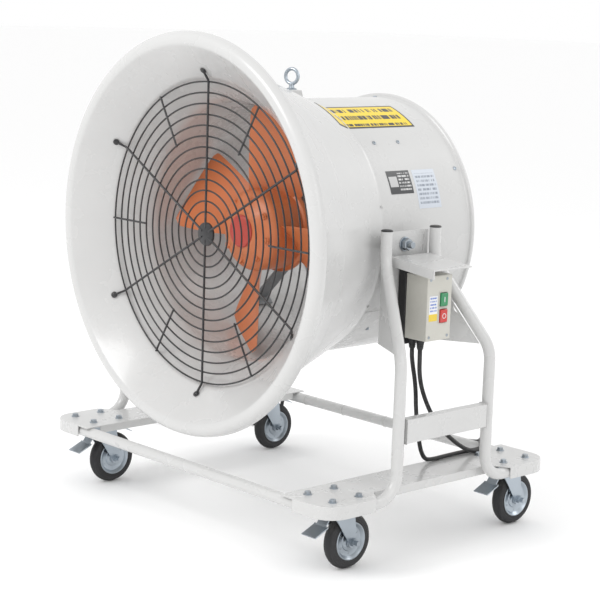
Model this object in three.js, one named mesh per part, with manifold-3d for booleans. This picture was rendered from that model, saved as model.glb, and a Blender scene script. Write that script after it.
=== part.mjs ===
// Mobile axial air mover: a bell-mouthed fan duct that tilts between the uprights of a
// tubular trolley on four braked swivel casters. Millimetres, +Z up, inlet facing -Y,
// switch box on the +X side. The origin is on the floor under the middle of the object.
import * as THREE from "three";
import { mergeVertices } from "three/addons/utils/BufferGeometryUtils.js";
import Module from "manifold-3d";

const wasm = await Module();
wasm.setup();

// ---------------------------------------------------------------- driving dimensions
const GAP = 0.3; // clearance between pieces that touch
const ANGLED_GAP = 1.2; // the same where two end faces meet at a slight angle
const AXIS_HEIGHT = 707.6; // fan axis and tilt pivot above the floor
const ROUND = 28; // facets round the large spun sheets
const ROLL_TURN = 135; // degrees that the lip rolls through, in a few facets
const ROLL_STEPS = 6;
const WHEEL_FACETS = 20;
const RING_FACETS = 18; // facets round a guard wire

const wheel = { radius: 65, width: 30, rimRadius: 44, boreRadius: 6.2, hubWidth: 36 };
const caster = { x: 443, y: 283.5, trail: 46.2, plateSize: 94, plateCorner: 17, plateThickness: 3.4 };
const fork = { legThickness: 3, legWidth: 34, crownRadius: 40, raceRadius: 33, raceHeight: 9 };
const axle = { radius: 6, endX: 38.9, headRadius: 9.5, headHeight: 7 };
const pedal = {
  pivotY: 28, pivotZ: 2 * wheel.radius + 12, pinRadius: 4,
  padReach: 71, padZ: wheel.radius + 29, elbowZ: wheel.radius + 45,
  tabReach: 104, sheet: 2.6, armHalf: 15, padHalf: 22,
};

const plate = {
  top: 2 * wheel.radius + 46, thickness: 3.2,
  innerX: 364, outerX: 522, waistX: 478, endY: caster.y + 88.5,
};
const plateEdge = { corner: 57, flareStart: caster.y - 91.5, flareEnd: caster.y - 57.5, sheet: 3 };
const flange = { outer: 30, inner: 19, waist: 20, innerEndY: caster.y + 46.5, endFromX: 404 };

const tube = { radius: 13.6, sides: 10 };
const upright = {
  topX: 378, topY: 80.4,
  topZ: AXIS_HEIGHT + 36.4, upperKinkZ: AXIS_HEIGHT - 37.6, lowerKinkZ: AXIS_HEIGHT - 237.6,
};
const inRim = plateEdge.sheet + tube.radius; // from the rim's outer face in to a tube that touches it
const foot = {
  x: plate.outerX - inRim - 0.4, y: 148.5, bendRadius: 60, kinkRadius: 90,
  crossY: plate.endY - inRim - 2.4, cornerRadius: 58,
};
const cap = { height: 4, lip: 0.6 };
const tie = { bottom: 286, top: 341, thickness: 24 };

const bracket = {
  webX: 354, webSheet: 3, bottom: AXIS_HEIGHT - 228.6, top: AXIS_HEIGHT + 30.4, wingSheet: 3, slotLength: 15,
};
const pivot = { boltRadius: 8, boreRadius: 8.4, bossRadius: 21, washerRadius: 17, washer: 3 };
const pivotNut = { acrossFlats: 25, height: 13, boltEndX: 386, boltInnerX: 332 };

const shelf = {
  x0: 378, x1: 511, front: -62, rear: 64, innerZ: AXIS_HEIGHT - 22.6, slope: 6, apron: 22, sheet: 3,
};
const boxBase = { x0: 384, depth: 23, halfWidth: 42, bottom: AXIS_HEIGHT - 223.6, top: AXIS_HEIGHT - 49.6 };
const boxCover = { depth: 67, halfWidth: 40, bottom: AXIS_HEIGHT - 207.6, top: AXIS_HEIGHT - 57.6, wall: 3 };
const button = {
  y: 13, width: 23, height: 30, onZ: AXIS_HEIGHT - 113.6, offZ: AXIS_HEIGHT - 151.6,
  proud: 5, fit: 0.5, travel: 3,
};
const gland = { y: -24, supplyX: 418, leadX: 443, radius: 11, tipRadius: 7.5, length: 24 };

const duct = { innerRadius: 308.5, wall: 4, front: -200, rear: 284, beadRadius: 322.4 };
const lip = { radius: 450.5, y: -358.5, roll: 20, hem: 4, sheet: 2 };
const cone = { seamRadius: 383, seamY: -217, kneeRadius: 351, kneeY: -131, rearY: -23, rearLand: 6, sheet: 1.5 };
const guard = { radius: duct.innerRadius + 46.3, y: -298.7, rings: 13, innerRing: 52.4, wire: 2.2, rod: 2.9 };
const guardPitch = (guard.radius - guard.innerRing) / (guard.rings - 1);
const guardEnd = { hornShare: 0.24, eyeRadius: 8, eyeThickness: 3.2, hubRadius: 28, hubHalf: 3.4 };
const outlet = { y: 276, rings: 6, pitch: 46, wire: 2.5, rods: 6, hubRadius: 34 };
const impeller = { tipRadius: duct.innerRadius - 8.5, rootRadius: 84, hubRadius: 98, blades: 4, firstBlade: 165 };
const hub = { front: -190, shoulder: -152, rear: -62, nose: 47, flangeRadius: 106, flange: 14 };
const blade = { front: -150, rear: -66, tipSpan: 38, rootSpan: 62, thickness: 6 };
const redCap = { radius: 40, height: 6 };
const motor = { radius: 86, front: -48, rear: 176, shaftRadius: 14, bellRadius: 70, bell: 22 };
const mount = { y: 64, width: 60, collar: 7, arm: 6, footWidth: 46, arms: 4 };
const eyebolt = { y: -42, ringUp: 366.4, ringRadius: 17.6, wire: 4.3, padRadius: 21, padUp: 334.4, turn: 15 };
const grommet = { radius: 8.5, height: 2.4 };

const cord = { radius: 5.25, sides: 8 };
const coil = {
  x: -765, y: foot.crossY + tube.radius + 18.4,
  inner: 36, outer: 79, height: 22, tailStart: 16, tailEnd: 68,
};
const plug = { bodyRadius: 21, bodyLength: 46, nose: 18, collar: 16 };

// Routes of the two cords, laid by hand over a frame of these sizes: x, y, z of points that a
// smooth curve passes.
const laidOver = { axisHeight: 707.6, plateTop: 176, crossbarBack: 366.6 };
const supplyRoute = [
  [418, -24, 475], [418, -23, 455], [417, -17, 430], [413, -6, 402], [407, 6, 368],
  [401, 16, 328], [395, 28, 288], [388, 44, 246], [382, 62, 208], [377, 84, 186.6],
  [375, 112, 181.8], [374, 150, 181.8], [373, 195, 181.8], [373.4, 236, 181.8], [376, 264, 181.8],
  [371, 286, 181.8], [359, 302, 181.8], [343, 320, 181.6], [326, 338, 180.4], [310, 356, 178.8],
  [295, 373, 173.4], [278, 387, 164], [256, 395, 156.6], [227, 392, 154], [195, 383, 154],
  [160, 375.6, 154], [120, 372.9, 154], [20, 372.8, 154], [-90, 372.8, 154], [-200, 372.8, 154],
  [-290, 372.8, 154], [-330, 373.6, 154], [-362, 377, 154], [-396, 385, 153.4], [-430, 394, 152],
  [-462, 402, 147], [-486, 409, 132], [-502, 416, 107], [-512, 423, 76], [-520, 431, 46],
  [-531, 440, 21], [-550, 448, 8.4], [-578, 454, 5.6], [-620, 458.6, 5.6], [-670, 459.6, 5.6],
  [-724, 458.9, 5.6],
];
const leadRoute = [
  [443, -24, 475], [443, -23.4, 452], [440, -19, 424], [436, -8, 392], [431, 12, 356],
  [426, 42, 314], [419, 82, 274], [410, 128, 240], [400, 176, 211], [391, 216, 192],
  [387.4, 246, 183.4], [389, 268, 181.8], [388, 285, 181.8], [378, 301, 181.8], [367.6, 313.4, 181.8],
  [357, 325.6, 180.8], [349, 335, 176.4], [344, 341, 171.6],
];

const baseTubeZ = plate.top - plate.thickness - GAP - tube.radius;
const ductOuter = duct.innerRadius + duct.wall;
const lipFront = lip.y - lip.roll;
const casterReach = caster.y + caster.trail + wheel.radius;
const rowShift = -(casterReach + lipFront) / 2; // centres the footprint on the origin

// ---------------------------------------------------------------- materials
function finish(color, roughness, metalness = 0) {
  return new THREE.MeshStandardMaterial({ color, roughness, metalness });
}
const whitePaint = finish(0xe9eae8, 0.32);
const blackWire = finish(0x151515, 0.4);
const orangePaint = finish(0xc85a24, 0.45);
const redPaint = finish(0xb5342a, 0.4);
const greyPaint = finish(0x8d9296, 0.5);
const zinc = finish(0xaeb6bf, 0.35, 0.9);
const blackPlastic = finish(0x191919, 0.5);
const paleCase = finish(0xc9c8c0, 0.5);
const greenPlastic = finish(0x2f8a4c, 0.4);
const redPlastic = finish(0xb8322c, 0.4);
const tyreRubber = finish(0x1b1b1c, 0.75);
const cordRubber = finish(0x131313, 0.65);

// ---------------------------------------------------------------- solids and booleans
function bare(geometry) {
  const positions = geometry.index ? geometry.toNonIndexed() : geometry;
  const plain = new THREE.BufferGeometry();
  plain.setAttribute("position", positions.getAttribute("position"));
  return mergeVertices(plain, 1e-4);
}

function solid(geometry) {
  const merged = bare(geometry);
  const vertProperties = merged.attributes.position.array;
  const triVerts = new Uint32Array(merged.index.array);
  return new wasm.Manifold(new wasm.Mesh({ numProp: 3, vertProperties, triVerts }));
}

function geometryOf(manifold) {
  const mesh = manifold.getMesh();
  const geometry = new THREE.BufferGeometry();
  geometry.setAttribute("position", new THREE.BufferAttribute(mesh.vertProperties, 3));
  geometry.setIndex(new THREE.BufferAttribute(mesh.triVerts, 1));
  geometry.computeVertexNormals();
  return geometry;
}

// Joins geometries into one, then cuts others out of it.
function combine(joined, cut = []) {
  let body = solid(joined[0]);
  for (const geometry of joined.slice(1)) {
    body = body.add(solid(geometry));
  }
  for (const geometry of cut) {
    body = body.subtract(solid(geometry));
  }
  return geometryOf(body);
}

function block(x0, x1, y0, y1, z0, z1) {
  const geometry = new THREE.BoxGeometry(x1 - x0, y1 - y0, z1 - z0);
  return geometry.translate((x0 + x1) / 2, (y0 + y1) / 2, (z0 + z1) / 2);
}

// A cylinder or cone along an axis, from one coordinate to another on it.
function rod(axis, from, to, radius, sides, endRadius = radius) {
  const geometry = new THREE.CylinderGeometry(endRadius, radius, to - from, sides);
  geometry.rotateY(Math.PI / sides);
  geometry.translate(0, (from + to) / 2, 0);
  if (axis === "x") geometry.rotateZ(-Math.PI / 2);
  if (axis === "z") geometry.rotateX(Math.PI / 2);
  return geometry;
}

// Spins a closed outline of [radius, along] points round the local Y axis, facing out.
function spun(outline, facets) {
  const twiceArea = outline.reduce((sum, [r, y], i) => {
    const [nextR, nextY] = outline[(i + 1) % outline.length];
    return sum + r * nextY - nextR * y;
  }, 0);
  const ordered = twiceArea < 0 ? [...outline].reverse() : [...outline];
  ordered.push(ordered[0]);
  const points = ordered.map(([r, y]) => new THREE.Vector2(r, y));
  return new THREE.LatheGeometry(points, facets);
}

// A prism of an outline in one plane, from one coordinate to another across it.
function prism(outline, axis, from, to, holes = []) {
  const shape = new THREE.Shape(outline.map(([a, b]) => new THREE.Vector2(a, b)));
  for (const hole of holes) {
    shape.holes.push(new THREE.Path(hole.map(([a, b]) => new THREE.Vector2(a, b))));
  }
  const geometry = new THREE.ExtrudeGeometry(shape, { depth: to - from, bevelEnabled: false });
  geometry.translate(0, 0, from);
  if (axis === "x") {
    geometry.rotateX(Math.PI / 2);
    geometry.rotateZ(Math.PI / 2);
  }
  return geometry;
}

function circle(cx, cy, radius, sides) {
  return Array.from({ length: sides }, (_, i) => {
    const angle = (2 * Math.PI * i) / sides;
    return [cx + radius * Math.cos(angle), cy + radius * Math.sin(angle)];
  });
}

// Points of an arc in a plane, from one angle to another, in degrees.
function arc(cx, cy, radius, from, to, steps) {
  return Array.from({ length: steps + 1 }, (_, i) => {
    const angle = THREE.MathUtils.degToRad(from + ((to - from) * i) / steps);
    return [cx + radius * Math.cos(angle), cy + radius * Math.sin(angle)];
  });
}

function quadratic(start, control, end, steps) {
  const curve = new THREE.QuadraticBezierCurve(
    new THREE.Vector2(...start), new THREE.Vector2(...control), new THREE.Vector2(...end));
  return curve.getPoints(steps).map((p) => [p.x, p.y]);
}

// A path that stops at each of its stations, so a swept section turns only at them.
class StationPath extends THREE.Curve {
  constructor(stations) {
    super();
    this.stations = stations;
  }

  getPointAt(share, target = new THREE.Vector3()) {
    const along = share * (this.stations.length - 1);
    const index = Math.min(Math.floor(along + 1e-9), this.stations.length - 2);
    return target.lerpVectors(this.stations[index], this.stations[index + 1], along - index);
  }

  getTangentAt(share, target = new THREE.Vector3()) {
    const last = this.stations.length - 1;
    const index = Math.round(share * last);
    const before = this.stations[Math.max(index - 1, 0)];
    const after = this.stations[Math.min(index + 1, last)];
    const here = this.stations[index];
    const arriving = here.clone().sub(before).normalize();
    const leaving = after.clone().sub(here).normalize();
    return target.copy(arriving).add(leaving).normalize();
  }
}

function swept(stations, radius, sides) {
  const section = new THREE.Shape(circle(0, 0, radius, sides).map(([a, b]) => new THREE.Vector2(a, b)));
  return new THREE.ExtrudeGeometry(section, {
    steps: stations.length - 1,
    extrudePath: new StationPath(stations),
  });
}

// Straight runs through corner points, each corner rounded to its bend radius.
function bentRun(corners, bendSteps) {
  const stations = [corners[0].at];
  for (let i = 1; i < corners.length - 1; i++) {
    const here = corners[i].at;
    const back = corners[i - 1].at.clone().sub(here).normalize();
    const ahead = corners[i + 1].at.clone().sub(here).normalize();
    const half = back.angleTo(ahead) / 2;
    const setback = corners[i].bend / Math.tan(half);
    const toCentre = back.clone().add(ahead).normalize().multiplyScalar(corners[i].bend / Math.sin(half));
    const centre = here.clone().add(toCentre);
    const start = here.clone().addScaledVector(back, setback).sub(centre);
    const end = here.clone().addScaledVector(ahead, setback).sub(centre);
    const turn = start.angleTo(end);
    const steps = Math.max(2, Math.round((turn / (Math.PI / 2)) * bendSteps));
    for (let k = 0; k <= steps; k++) {
      const share = k / steps;
      const point = start.clone().multiplyScalar(Math.sin((1 - share) * turn) / Math.sin(turn));
      point.addScaledVector(end, Math.sin(share * turn) / Math.sin(turn));
      stations.push(point.add(centre));
    }
  }
  stations.push(corners[corners.length - 1].at);
  return stations;
}

// ---------------------------------------------------------------- scene graph
const machine = new THREE.Group();
machine.position.y = rowShift;

// Places a piece in the trolley's frame.
function add(name, geometry, material, parent = machine) {
  const mesh = new THREE.Mesh(geometry, material);
  mesh.name = name;
  parent.add(mesh);
  return mesh;
}

const head = new THREE.Group(); // everything that tilts, with its axis at z = 0
head.position.z = AXIS_HEIGHT;
machine.add(head);

const SIDES = [["right", 1], ["left", -1]];
const ENDS = [["front", -1], ["rear", 1]];

// Mirrors a geometry across X = 0 or Y = 0, and turns its faces round to point out again.
function reflected(geometry, axis) {
  const plain = bare(geometry).scale(axis === "x" ? -1 : 1, axis === "y" ? -1 : 1, 1);
  const corners = plain.index.array;
  for (let i = 0; i < corners.length; i += 3) {
    [corners[i + 1], corners[i + 2]] = [corners[i + 2], corners[i + 1]];
  }
  plain.computeVertexNormals();
  return plain;
}

function onSide(geometry, side) {
  return side > 0 ? geometry : reflected(geometry, "x");
}

// ---------------------------------------------------------------- trolley
// Outline of half a base plate in X and Y, from the waist round a front or rear corner.
function plateOutline(inset) {
  const outerX = plate.outerX - inset;
  const endY = plate.endY - inset;
  const corner = arc(outerX - plateEdge.corner + inset, endY - plateEdge.corner + inset,
    plateEdge.corner - inset, 0, 90, 5);
  return [[plate.waistX - inset, plateEdge.flareStart], [outerX, plateEdge.flareEnd], ...corner];
}

function mirrored(points) {
  return points.map(([x, y]) => [x, -y]).reverse();
}

function basePlate() {
  const outside = plateOutline(0);
  const outline = [
    [plate.innerX, -plate.endY], ...mirrored(outside), ...outside, [plate.innerX, plate.endY],
  ];
  const underside = plate.top - plate.thickness;
  const joined = [prism(outline, "z", underside, plate.top)];
  // A rim turned down round each corner, from the end face to the start of the waist.
  const inner = plateOutline(plateEdge.sheet);
  const rim = [
    ...outside.slice(1), [flange.endFromX, plate.endY],
    [flange.endFromX, plate.endY - plateEdge.sheet], ...inner.slice(1).reverse(),
  ];
  const rimBottom = plate.top - flange.outer;
  joined.push(prism(rim, "z", rimBottom, underside + 1));
  joined.push(prism(mirrored(rim), "z", rimBottom, underside + 1));
  joined.push(block(plate.waistX - plateEdge.sheet, plate.waistX, -plateEdge.flareStart + 4,
    plateEdge.flareStart - 4, plate.top - flange.waist, underside + 1));
  joined.push(block(plate.innerX, plate.innerX + plateEdge.sheet, -flange.innerEndY,
    flange.innerEndY, plate.top - flange.inner, underside + 1));
  return combine(joined);
}

// One bent tube: two uprights, their feet and the crossbar that joins them.
function frameTube(end) {
  const half = (side) => [
    { at: new THREE.Vector3(side * upright.topX, end * upright.topY, upright.topZ) },
    { at: new THREE.Vector3(side * upright.topX, end * upright.topY, upright.upperKinkZ), bend: foot.kinkRadius },
    { at: new THREE.Vector3(side * foot.x, end * foot.y, upright.lowerKinkZ), bend: foot.kinkRadius },
    { at: new THREE.Vector3(side * foot.x, end * foot.y, baseTubeZ), bend: foot.bendRadius },
    { at: new THREE.Vector3(side * foot.x, end * foot.crossY, baseTubeZ), bend: foot.cornerRadius },
  ];
  return swept(bentRun([...half(1), ...half(-1).reverse()], 6), tube.radius, tube.sides);
}

function tubeCap() {
  const top = upright.topZ + GAP;
  return rod("z", top, top + cap.height, tube.radius + cap.lip, 12, tube.radius - 2);
}

function tieBar() {
  const reach = foot.y - tube.radius - GAP;
  const middle = foot.x + 1;
  const half = tie.thickness / 2;
  return block(middle - half, middle + half, -reach, reach, tie.bottom, tie.top);
}

// The plane that an upright's slanted part lies in, measured from the web outwards.
const splay = new THREE.Vector2(foot.x - upright.topX, foot.y - upright.topY).normalize();
const webOuterX = bracket.webX + bracket.webSheet;

function wingAt(x) {
  return (x - webOuterX) / splay.x;
}

function bracketWing() {
  const clear = tube.radius + GAP;
  const low = new THREE.Vector2(wingAt(foot.x), upright.lowerKinkZ);
  const high = new THREE.Vector2(wingAt(upright.topX), upright.upperKinkZ);
  const slope = high.clone().sub(low).normalize();
  const under = new THREE.Vector2(-slope.y, slope.x).multiplyScalar(clear);
  const edge = low.clone().add(under);
  const edgeS = (z) => edge.x + ((z - edge.y) * slope.x) / slope.y;
  const postS = wingAt(upright.topX) - clear / splay.x + 1;
  const meetZ = edge.y + ((postS - edge.x) * slope.y) / slope.x;
  const kinkSag = 3; // the tube's bend lies inside the corner that its straight runs make
  const outline = [
    [-1, bracket.bottom], [edgeS(bracket.bottom) - kinkSag, bracket.bottom],
    [postS - kinkSag, meetZ - kinkSag], [postS - kinkSag, bracket.top], [-1, bracket.top],
  ];
  const notchZ = bracket.bottom + 66;
  const notch = [
    [edgeS(notchZ) - 9, notchZ], [edgeS(notchZ + 20) - 9, notchZ + 20], [edgeS(notchZ) - 18, notchZ + 6],
  ];
  const wing = prism(outline, "z", -bracket.wingSheet / 2, bracket.wingSheet / 2, [notch]);
  wing.rotateX(Math.PI / 2);
  wing.rotateZ(splay.angle());
  const rootY = upright.topY - (upright.topX - webOuterX) * (splay.y / splay.x);
  return wing.translate(webOuterX, rootY, 0);
}

function sideBracket() {
  const wing = bracketWing();
  const rootY = upright.topY - (upright.topX - webOuterX) * (splay.y / splay.x);
  const chamfer = 8;
  const half = rootY + 1.6;
  const web = [
    [-half, bracket.bottom], [half, bracket.bottom], [half, bracket.top - chamfer],
    [half - chamfer, bracket.top], [chamfer - half, bracket.top], [-half, bracket.top - chamfer],
  ];
  const through = [bracket.webX - 1, webOuterX + 1];
  const cuts = [rod("x", ...through, pivot.boreRadius, 14).translate(0, 0, AXIS_HEIGHT)];
  for (const z of [AXIS_HEIGHT + 3, AXIS_HEIGHT - 20, bracket.bottom + 60]) {
    for (const side of [1, -1]) {
      const y = side * (half - 9);
      cuts.push(block(...through, y - 2, y + 2, z, z + bracket.slotLength));
    }
  }
  const sheet = prism(web, "x", bracket.webX, webOuterX);
  return combine([sheet, wing, reflected(wing, "y")], cuts);
}

function pivotBolt() {
  const washerEnd = webOuterX + GAP + pivot.washer;
  const nutEnd = washerEnd + pivotNut.height;
  const corner = pivotNut.acrossFlats / Math.sqrt(3);
  return combine([
    rod("x", pivotNut.boltInnerX, pivotNut.boltEndX, pivot.boltRadius, 14),
    rod("x", webOuterX + GAP, washerEnd, pivot.washerRadius, 20),
    rod("x", washerEnd - 0.5, nutEnd, corner, 6),
  ]).translate(0, 0, AXIS_HEIGHT);
}

function switchBracket() {
  const spanY = upright.topY - tube.radius - GAP;
  const drop = Math.tan(THREE.MathUtils.degToRad(shelf.slope)) * (shelf.x1 - shelf.x0);
  const outerZ = shelf.innerZ - drop;
  const back = block(shelf.x0, shelf.x0 + shelf.sheet, -spanY, spanY, boxBase.bottom - 6, shelf.innerZ);
  const profile = (low) => [
    [shelf.x0, shelf.innerZ - low], [shelf.x1, outerZ - low], [shelf.x1, outerZ], [shelf.x0, shelf.innerZ],
  ];
  const top = prism(profile(shelf.sheet), "z", -shelf.rear, -shelf.front).rotateX(Math.PI / 2);
  const apron = prism(profile(shelf.apron), "z", -shelf.front - shelf.sheet, -shelf.front).rotateX(Math.PI / 2);
  return combine([back, top, apron]);
}

function switchCover() {
  const x0 = boxBase.x0 + boxBase.depth + GAP;
  const x1 = x0 + boxCover.depth - GAP;
  const { halfWidth, bottom, top, wall } = boxCover;
  const shell = block(x0, x1, -halfWidth, halfWidth, bottom, top);
  const hollow = block(x0 - 1, x1 - wall, wall - halfWidth, halfWidth - wall, bottom + wall, top - wall);
  const windows = [button.onZ, button.offZ].map((z) => block(x1 - wall - 1, x1 + 1,
    button.y - button.width / 2 - button.fit, button.y + button.width / 2 + button.fit,
    z - button.height / 2 - button.fit, z + button.height / 2 + button.fit));
  return combine([shell], [hollow, ...windows]);
}

const coverFace = boxBase.x0 + boxBase.depth + boxCover.depth;

function pushButton(z) {
  return block(coverFace - 7, coverFace + button.proud,
    button.y - button.width / 2, button.y + button.width / 2, z - button.height / 2, z + button.height / 2);
}

function switchBlock() {
  const x0 = boxBase.x0 + boxBase.depth + 2 * GAP;
  return block(x0, coverFace - 7 - button.travel - 1, button.y - 20, button.y + 16,
    button.offZ - 26, button.onZ + 26);
}

function cordGland(x) {
  const top = boxCover.bottom - GAP;
  const collar = rod("z", top - 9, top, gland.radius, 12);
  const sleeve = rod("z", top - gland.length, top - 8, gland.tipRadius, 12, gland.radius - 1.5);
  return combine([collar, sleeve]).translate(x, gland.y, 0);
}

for (const [sideName, side] of SIDES) {
  add("base_plate_" + sideName, onSide(basePlate(), side), whitePaint);
  add("tie_bar_" + sideName, onSide(tieBar(), side), whitePaint);
  add("side_bracket_" + sideName, onSide(sideBracket(), side), whitePaint);
  add("pivot_bolt_" + sideName, onSide(pivotBolt(), side), zinc);
}
for (const [endName, end] of ENDS) {
  add("frame_tube_" + endName, frameTube(end), whitePaint);
  for (const [sideName, side] of SIDES) {
    const mesh = add("tube_cap_" + endName + "_" + sideName, tubeCap(), blackPlastic);
    mesh.position.set(side * upright.topX, end * upright.topY, 0);
  }
}
add("switch_bracket", switchBracket(), whitePaint);
add("switch_box_base", block(boxBase.x0, boxBase.x0 + boxBase.depth, -boxBase.halfWidth,
  boxBase.halfWidth, boxBase.bottom, boxBase.top), blackPlastic);
add("switch_box_cover", switchCover(), paleCase);
add("switch_block", switchBlock(), blackPlastic);
add("on_button", pushButton(button.onZ), greenPlastic);
add("off_button", pushButton(button.offZ), redPlastic);
add("lead_gland", cordGland(gland.leadX), blackPlastic);
add("supply_gland", cordGland(gland.supplyX), blackPlastic);

// ---------------------------------------------------------------- casters
function casterPlate() {
  const top = plate.top - plate.thickness - GAP;
  const half = caster.plateSize / 2;
  const cut = half - caster.plateCorner;
  const outline = [
    [half, -cut], [half, cut], [cut, half], [-cut, half], [-half, cut], [-half, -cut], [-cut, -half], [cut, -half],
  ];
  return prism(outline, "z", top - caster.plateThickness, top);
}

// The swivelling yoke: ball race, crown, two slanting legs, axle and its nuts.
function casterFork() {
  const raceTop = plate.top - plate.thickness - 2 * GAP - caster.plateThickness;
  const crownTop = raceTop - fork.raceHeight;
  const crownBottom = crownTop - fork.legThickness;
  const legX = wheel.hubWidth / 2 + 1;
  const joined = [
    rod("z", crownTop - 0.5, raceTop, fork.raceRadius, 14),
    block(-legX - fork.legThickness, legX + fork.legThickness, -fork.crownRadius + 8,
      fork.crownRadius, crownBottom, crownTop),
  ];
  const half = fork.legWidth / 2;
  const leg = [
    [-fork.crownRadius + 8, crownTop], [caster.trail - half, wheel.radius + 6],
    ...arc(caster.trail, wheel.radius, half - 3, 200, 340, 4),
    [fork.crownRadius + 6, crownTop - 12], [fork.crownRadius, crownTop],
  ];
  for (const side of [1, -1]) {
    const inner = side > 0 ? legX : -legX - fork.legThickness;
    joined.push(prism(leg, "x", inner, inner + fork.legThickness));
  }
  const placed = (geometry) => geometry.translate(0, caster.trail, wheel.radius);
  joined.push(placed(rod("x", -axle.endX, axle.endX, axle.radius, 8)));
  const nutInner = legX + fork.legThickness - 0.5;
  joined.push(placed(rod("x", nutInner, nutInner + axle.headHeight, axle.headRadius, 6)));
  joined.push(placed(rod("x", -nutInner - axle.headHeight, -nutInner, axle.headRadius, 6)));
  return combine(joined);
}

function casterTyre() {
  const half = wheel.width / 2;
  const r = wheel.radius;
  const outline = [
    [wheel.rimRadius + GAP, -half + 1], [r - 8, -half], [r, -half * 0.4],
    [r, half * 0.4], [r - 8, half], [wheel.rimRadius + GAP, half - 1],
  ];
  return spun(outline, WHEEL_FACETS).rotateZ(Math.PI / 2);
}

function casterRim() {
  const half = wheel.width / 2;
  const hubHalf = wheel.hubWidth / 2;
  const outline = [
    [wheel.boreRadius, -hubHalf], [14, -hubHalf], [wheel.rimRadius - 8, -8],
    [wheel.rimRadius - 3, -half], [wheel.rimRadius, -half], [wheel.rimRadius, half],
    [wheel.rimRadius - 3, half], [wheel.rimRadius - 8, 8], [14, hubHalf], [wheel.boreRadius, hubHalf],
  ];
  return spun(outline, WHEEL_FACETS).rotateZ(Math.PI / 2);
}

// A rocking lever over the wheel: foot pad ahead of it, release tab behind, pin in between.
function brakePedal() {
  const { padReach, padZ, elbowZ, tabReach, sheet, armHalf, padHalf, pinRadius } = pedal;
  const armZ = pedal.pivotZ - pinRadius - sheet / 2;
  const strip = (points) => [
    ...points, ...points.map(([y, z]) => [y - sheet * 0.6, z + sheet]).reverse(),
  ];
  const padEdge = [-padReach, padZ];
  const elbow = [37 - padReach, elbowZ];
  const arm = strip([elbow, [elbow[0] + 20, armZ], [tabReach - 20, armZ], [tabReach, armZ - 11]]);
  const pad = strip([padEdge, elbow, [elbow[0] + 2, elbowZ + 2.7]]);
  const pin = rod("x", -armHalf - 1.5, armHalf + 1.5, pinRadius, 8);
  pin.translate(0, pedal.pivotY, pedal.pivotZ);
  return combine([prism(arm, "x", -armHalf, armHalf), prism(pad, "x", -padHalf, padHalf), pin]);
}

for (const [endName, end] of ENDS) {
  for (const [sideName, side] of SIDES) {
    const place = endName + "_" + sideName;
    const at = new THREE.Group();
    at.position.set(side * caster.x, end * caster.y, 0);
    machine.add(at);
    add("caster_plate_" + place, casterPlate(), zinc, at);
    add("caster_fork_" + place, casterFork(), zinc, at);
    const onAxle = new THREE.Group();
    onAxle.position.set(0, caster.trail, wheel.radius);
    at.add(onAxle);
    add("caster_rim_" + place, casterRim(), zinc, onAxle);
    add("caster_tyre_" + place, casterTyre(), tyreRubber, onAxle);
    add("brake_pedal_" + place, brakePedal(), zinc, at);
  }
}

// ---------------------------------------------------------------- duct, bell and cone
// The horn's air side, from the end of the rolled lip to the throat.
function hornCurve(offset) {
  const turn = Math.PI / 4;
  const reach = lip.roll - offset;
  const start = [lip.radius - reach * Math.cos(turn), lip.y - reach * Math.sin(turn)];
  const throat = duct.innerRadius + offset;
  const end = [throat, duct.front - GAP];
  const control = [throat, start[1] + (start[0] - throat)];
  return { start, control, end };
}

function bellMouth() {
  const side = (offset) => {
    const { start, control, end } = hornCurve(offset);
    const roll = arc(lip.radius, lip.y, lip.roll - offset, 0, -ROLL_TURN, ROLL_STEPS);
    return [[lip.radius + lip.roll - offset, lip.y + lip.hem], ...roll, ...quadratic(start, control, end, 6).slice(1)];
  };
  return spun([...side(0), ...side(lip.sheet).reverse()], ROUND);
}

function outerCone() {
  const halfStep = THREE.MathUtils.degToRad(ROLL_TURN / ROLL_STEPS / 2);
  const hidden = (lip.roll - lip.sheet) * Math.cos(halfStep) - 2 * GAP;
  const front = [lip.radius + hidden * Math.SQRT1_2, lip.y - hidden * Math.SQRT1_2];
  const flare = quadratic(front, [cone.seamRadius + 42, cone.seamY - 111], [cone.seamRadius, cone.seamY], 5);
  const rear = ductOuter + GAP + cone.sheet;
  const outside = [...flare, [cone.kneeRadius, cone.kneeY], [rear, cone.rearY - cone.rearLand], [rear, cone.rearY]];
  const inside = outside.map(([r, y]) => [r - cone.sheet, y]).reverse();
  return spun([...outside, ...inside], ROUND);
}

function ductShell() {
  const bead = duct.beadRadius;
  const outline = [
    [duct.innerRadius, duct.front], [ductOuter, duct.front], [ductOuter, duct.rear - 18],
    [bead - 3, duct.rear - 15], [bead, duct.rear - 11], [bead, duct.rear - 4],
    [bead - 3, duct.rear], [duct.innerRadius, duct.rear],
  ];
  return spun(outline, ROUND);
}

// A guard wire ring of square section, and a square spoke a little thicker than it.
function ring(radius, y, wire) {
  const inner = radius - wire;
  const outer = radius + wire;
  return spun([[inner, y - wire], [outer, y - wire], [outer, y + wire], [inner, y + wire]], RING_FACETS);
}

function spoke(from, to, y, half) {
  return block(from, to, y - half, y + half, -half, half);
}

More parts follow.
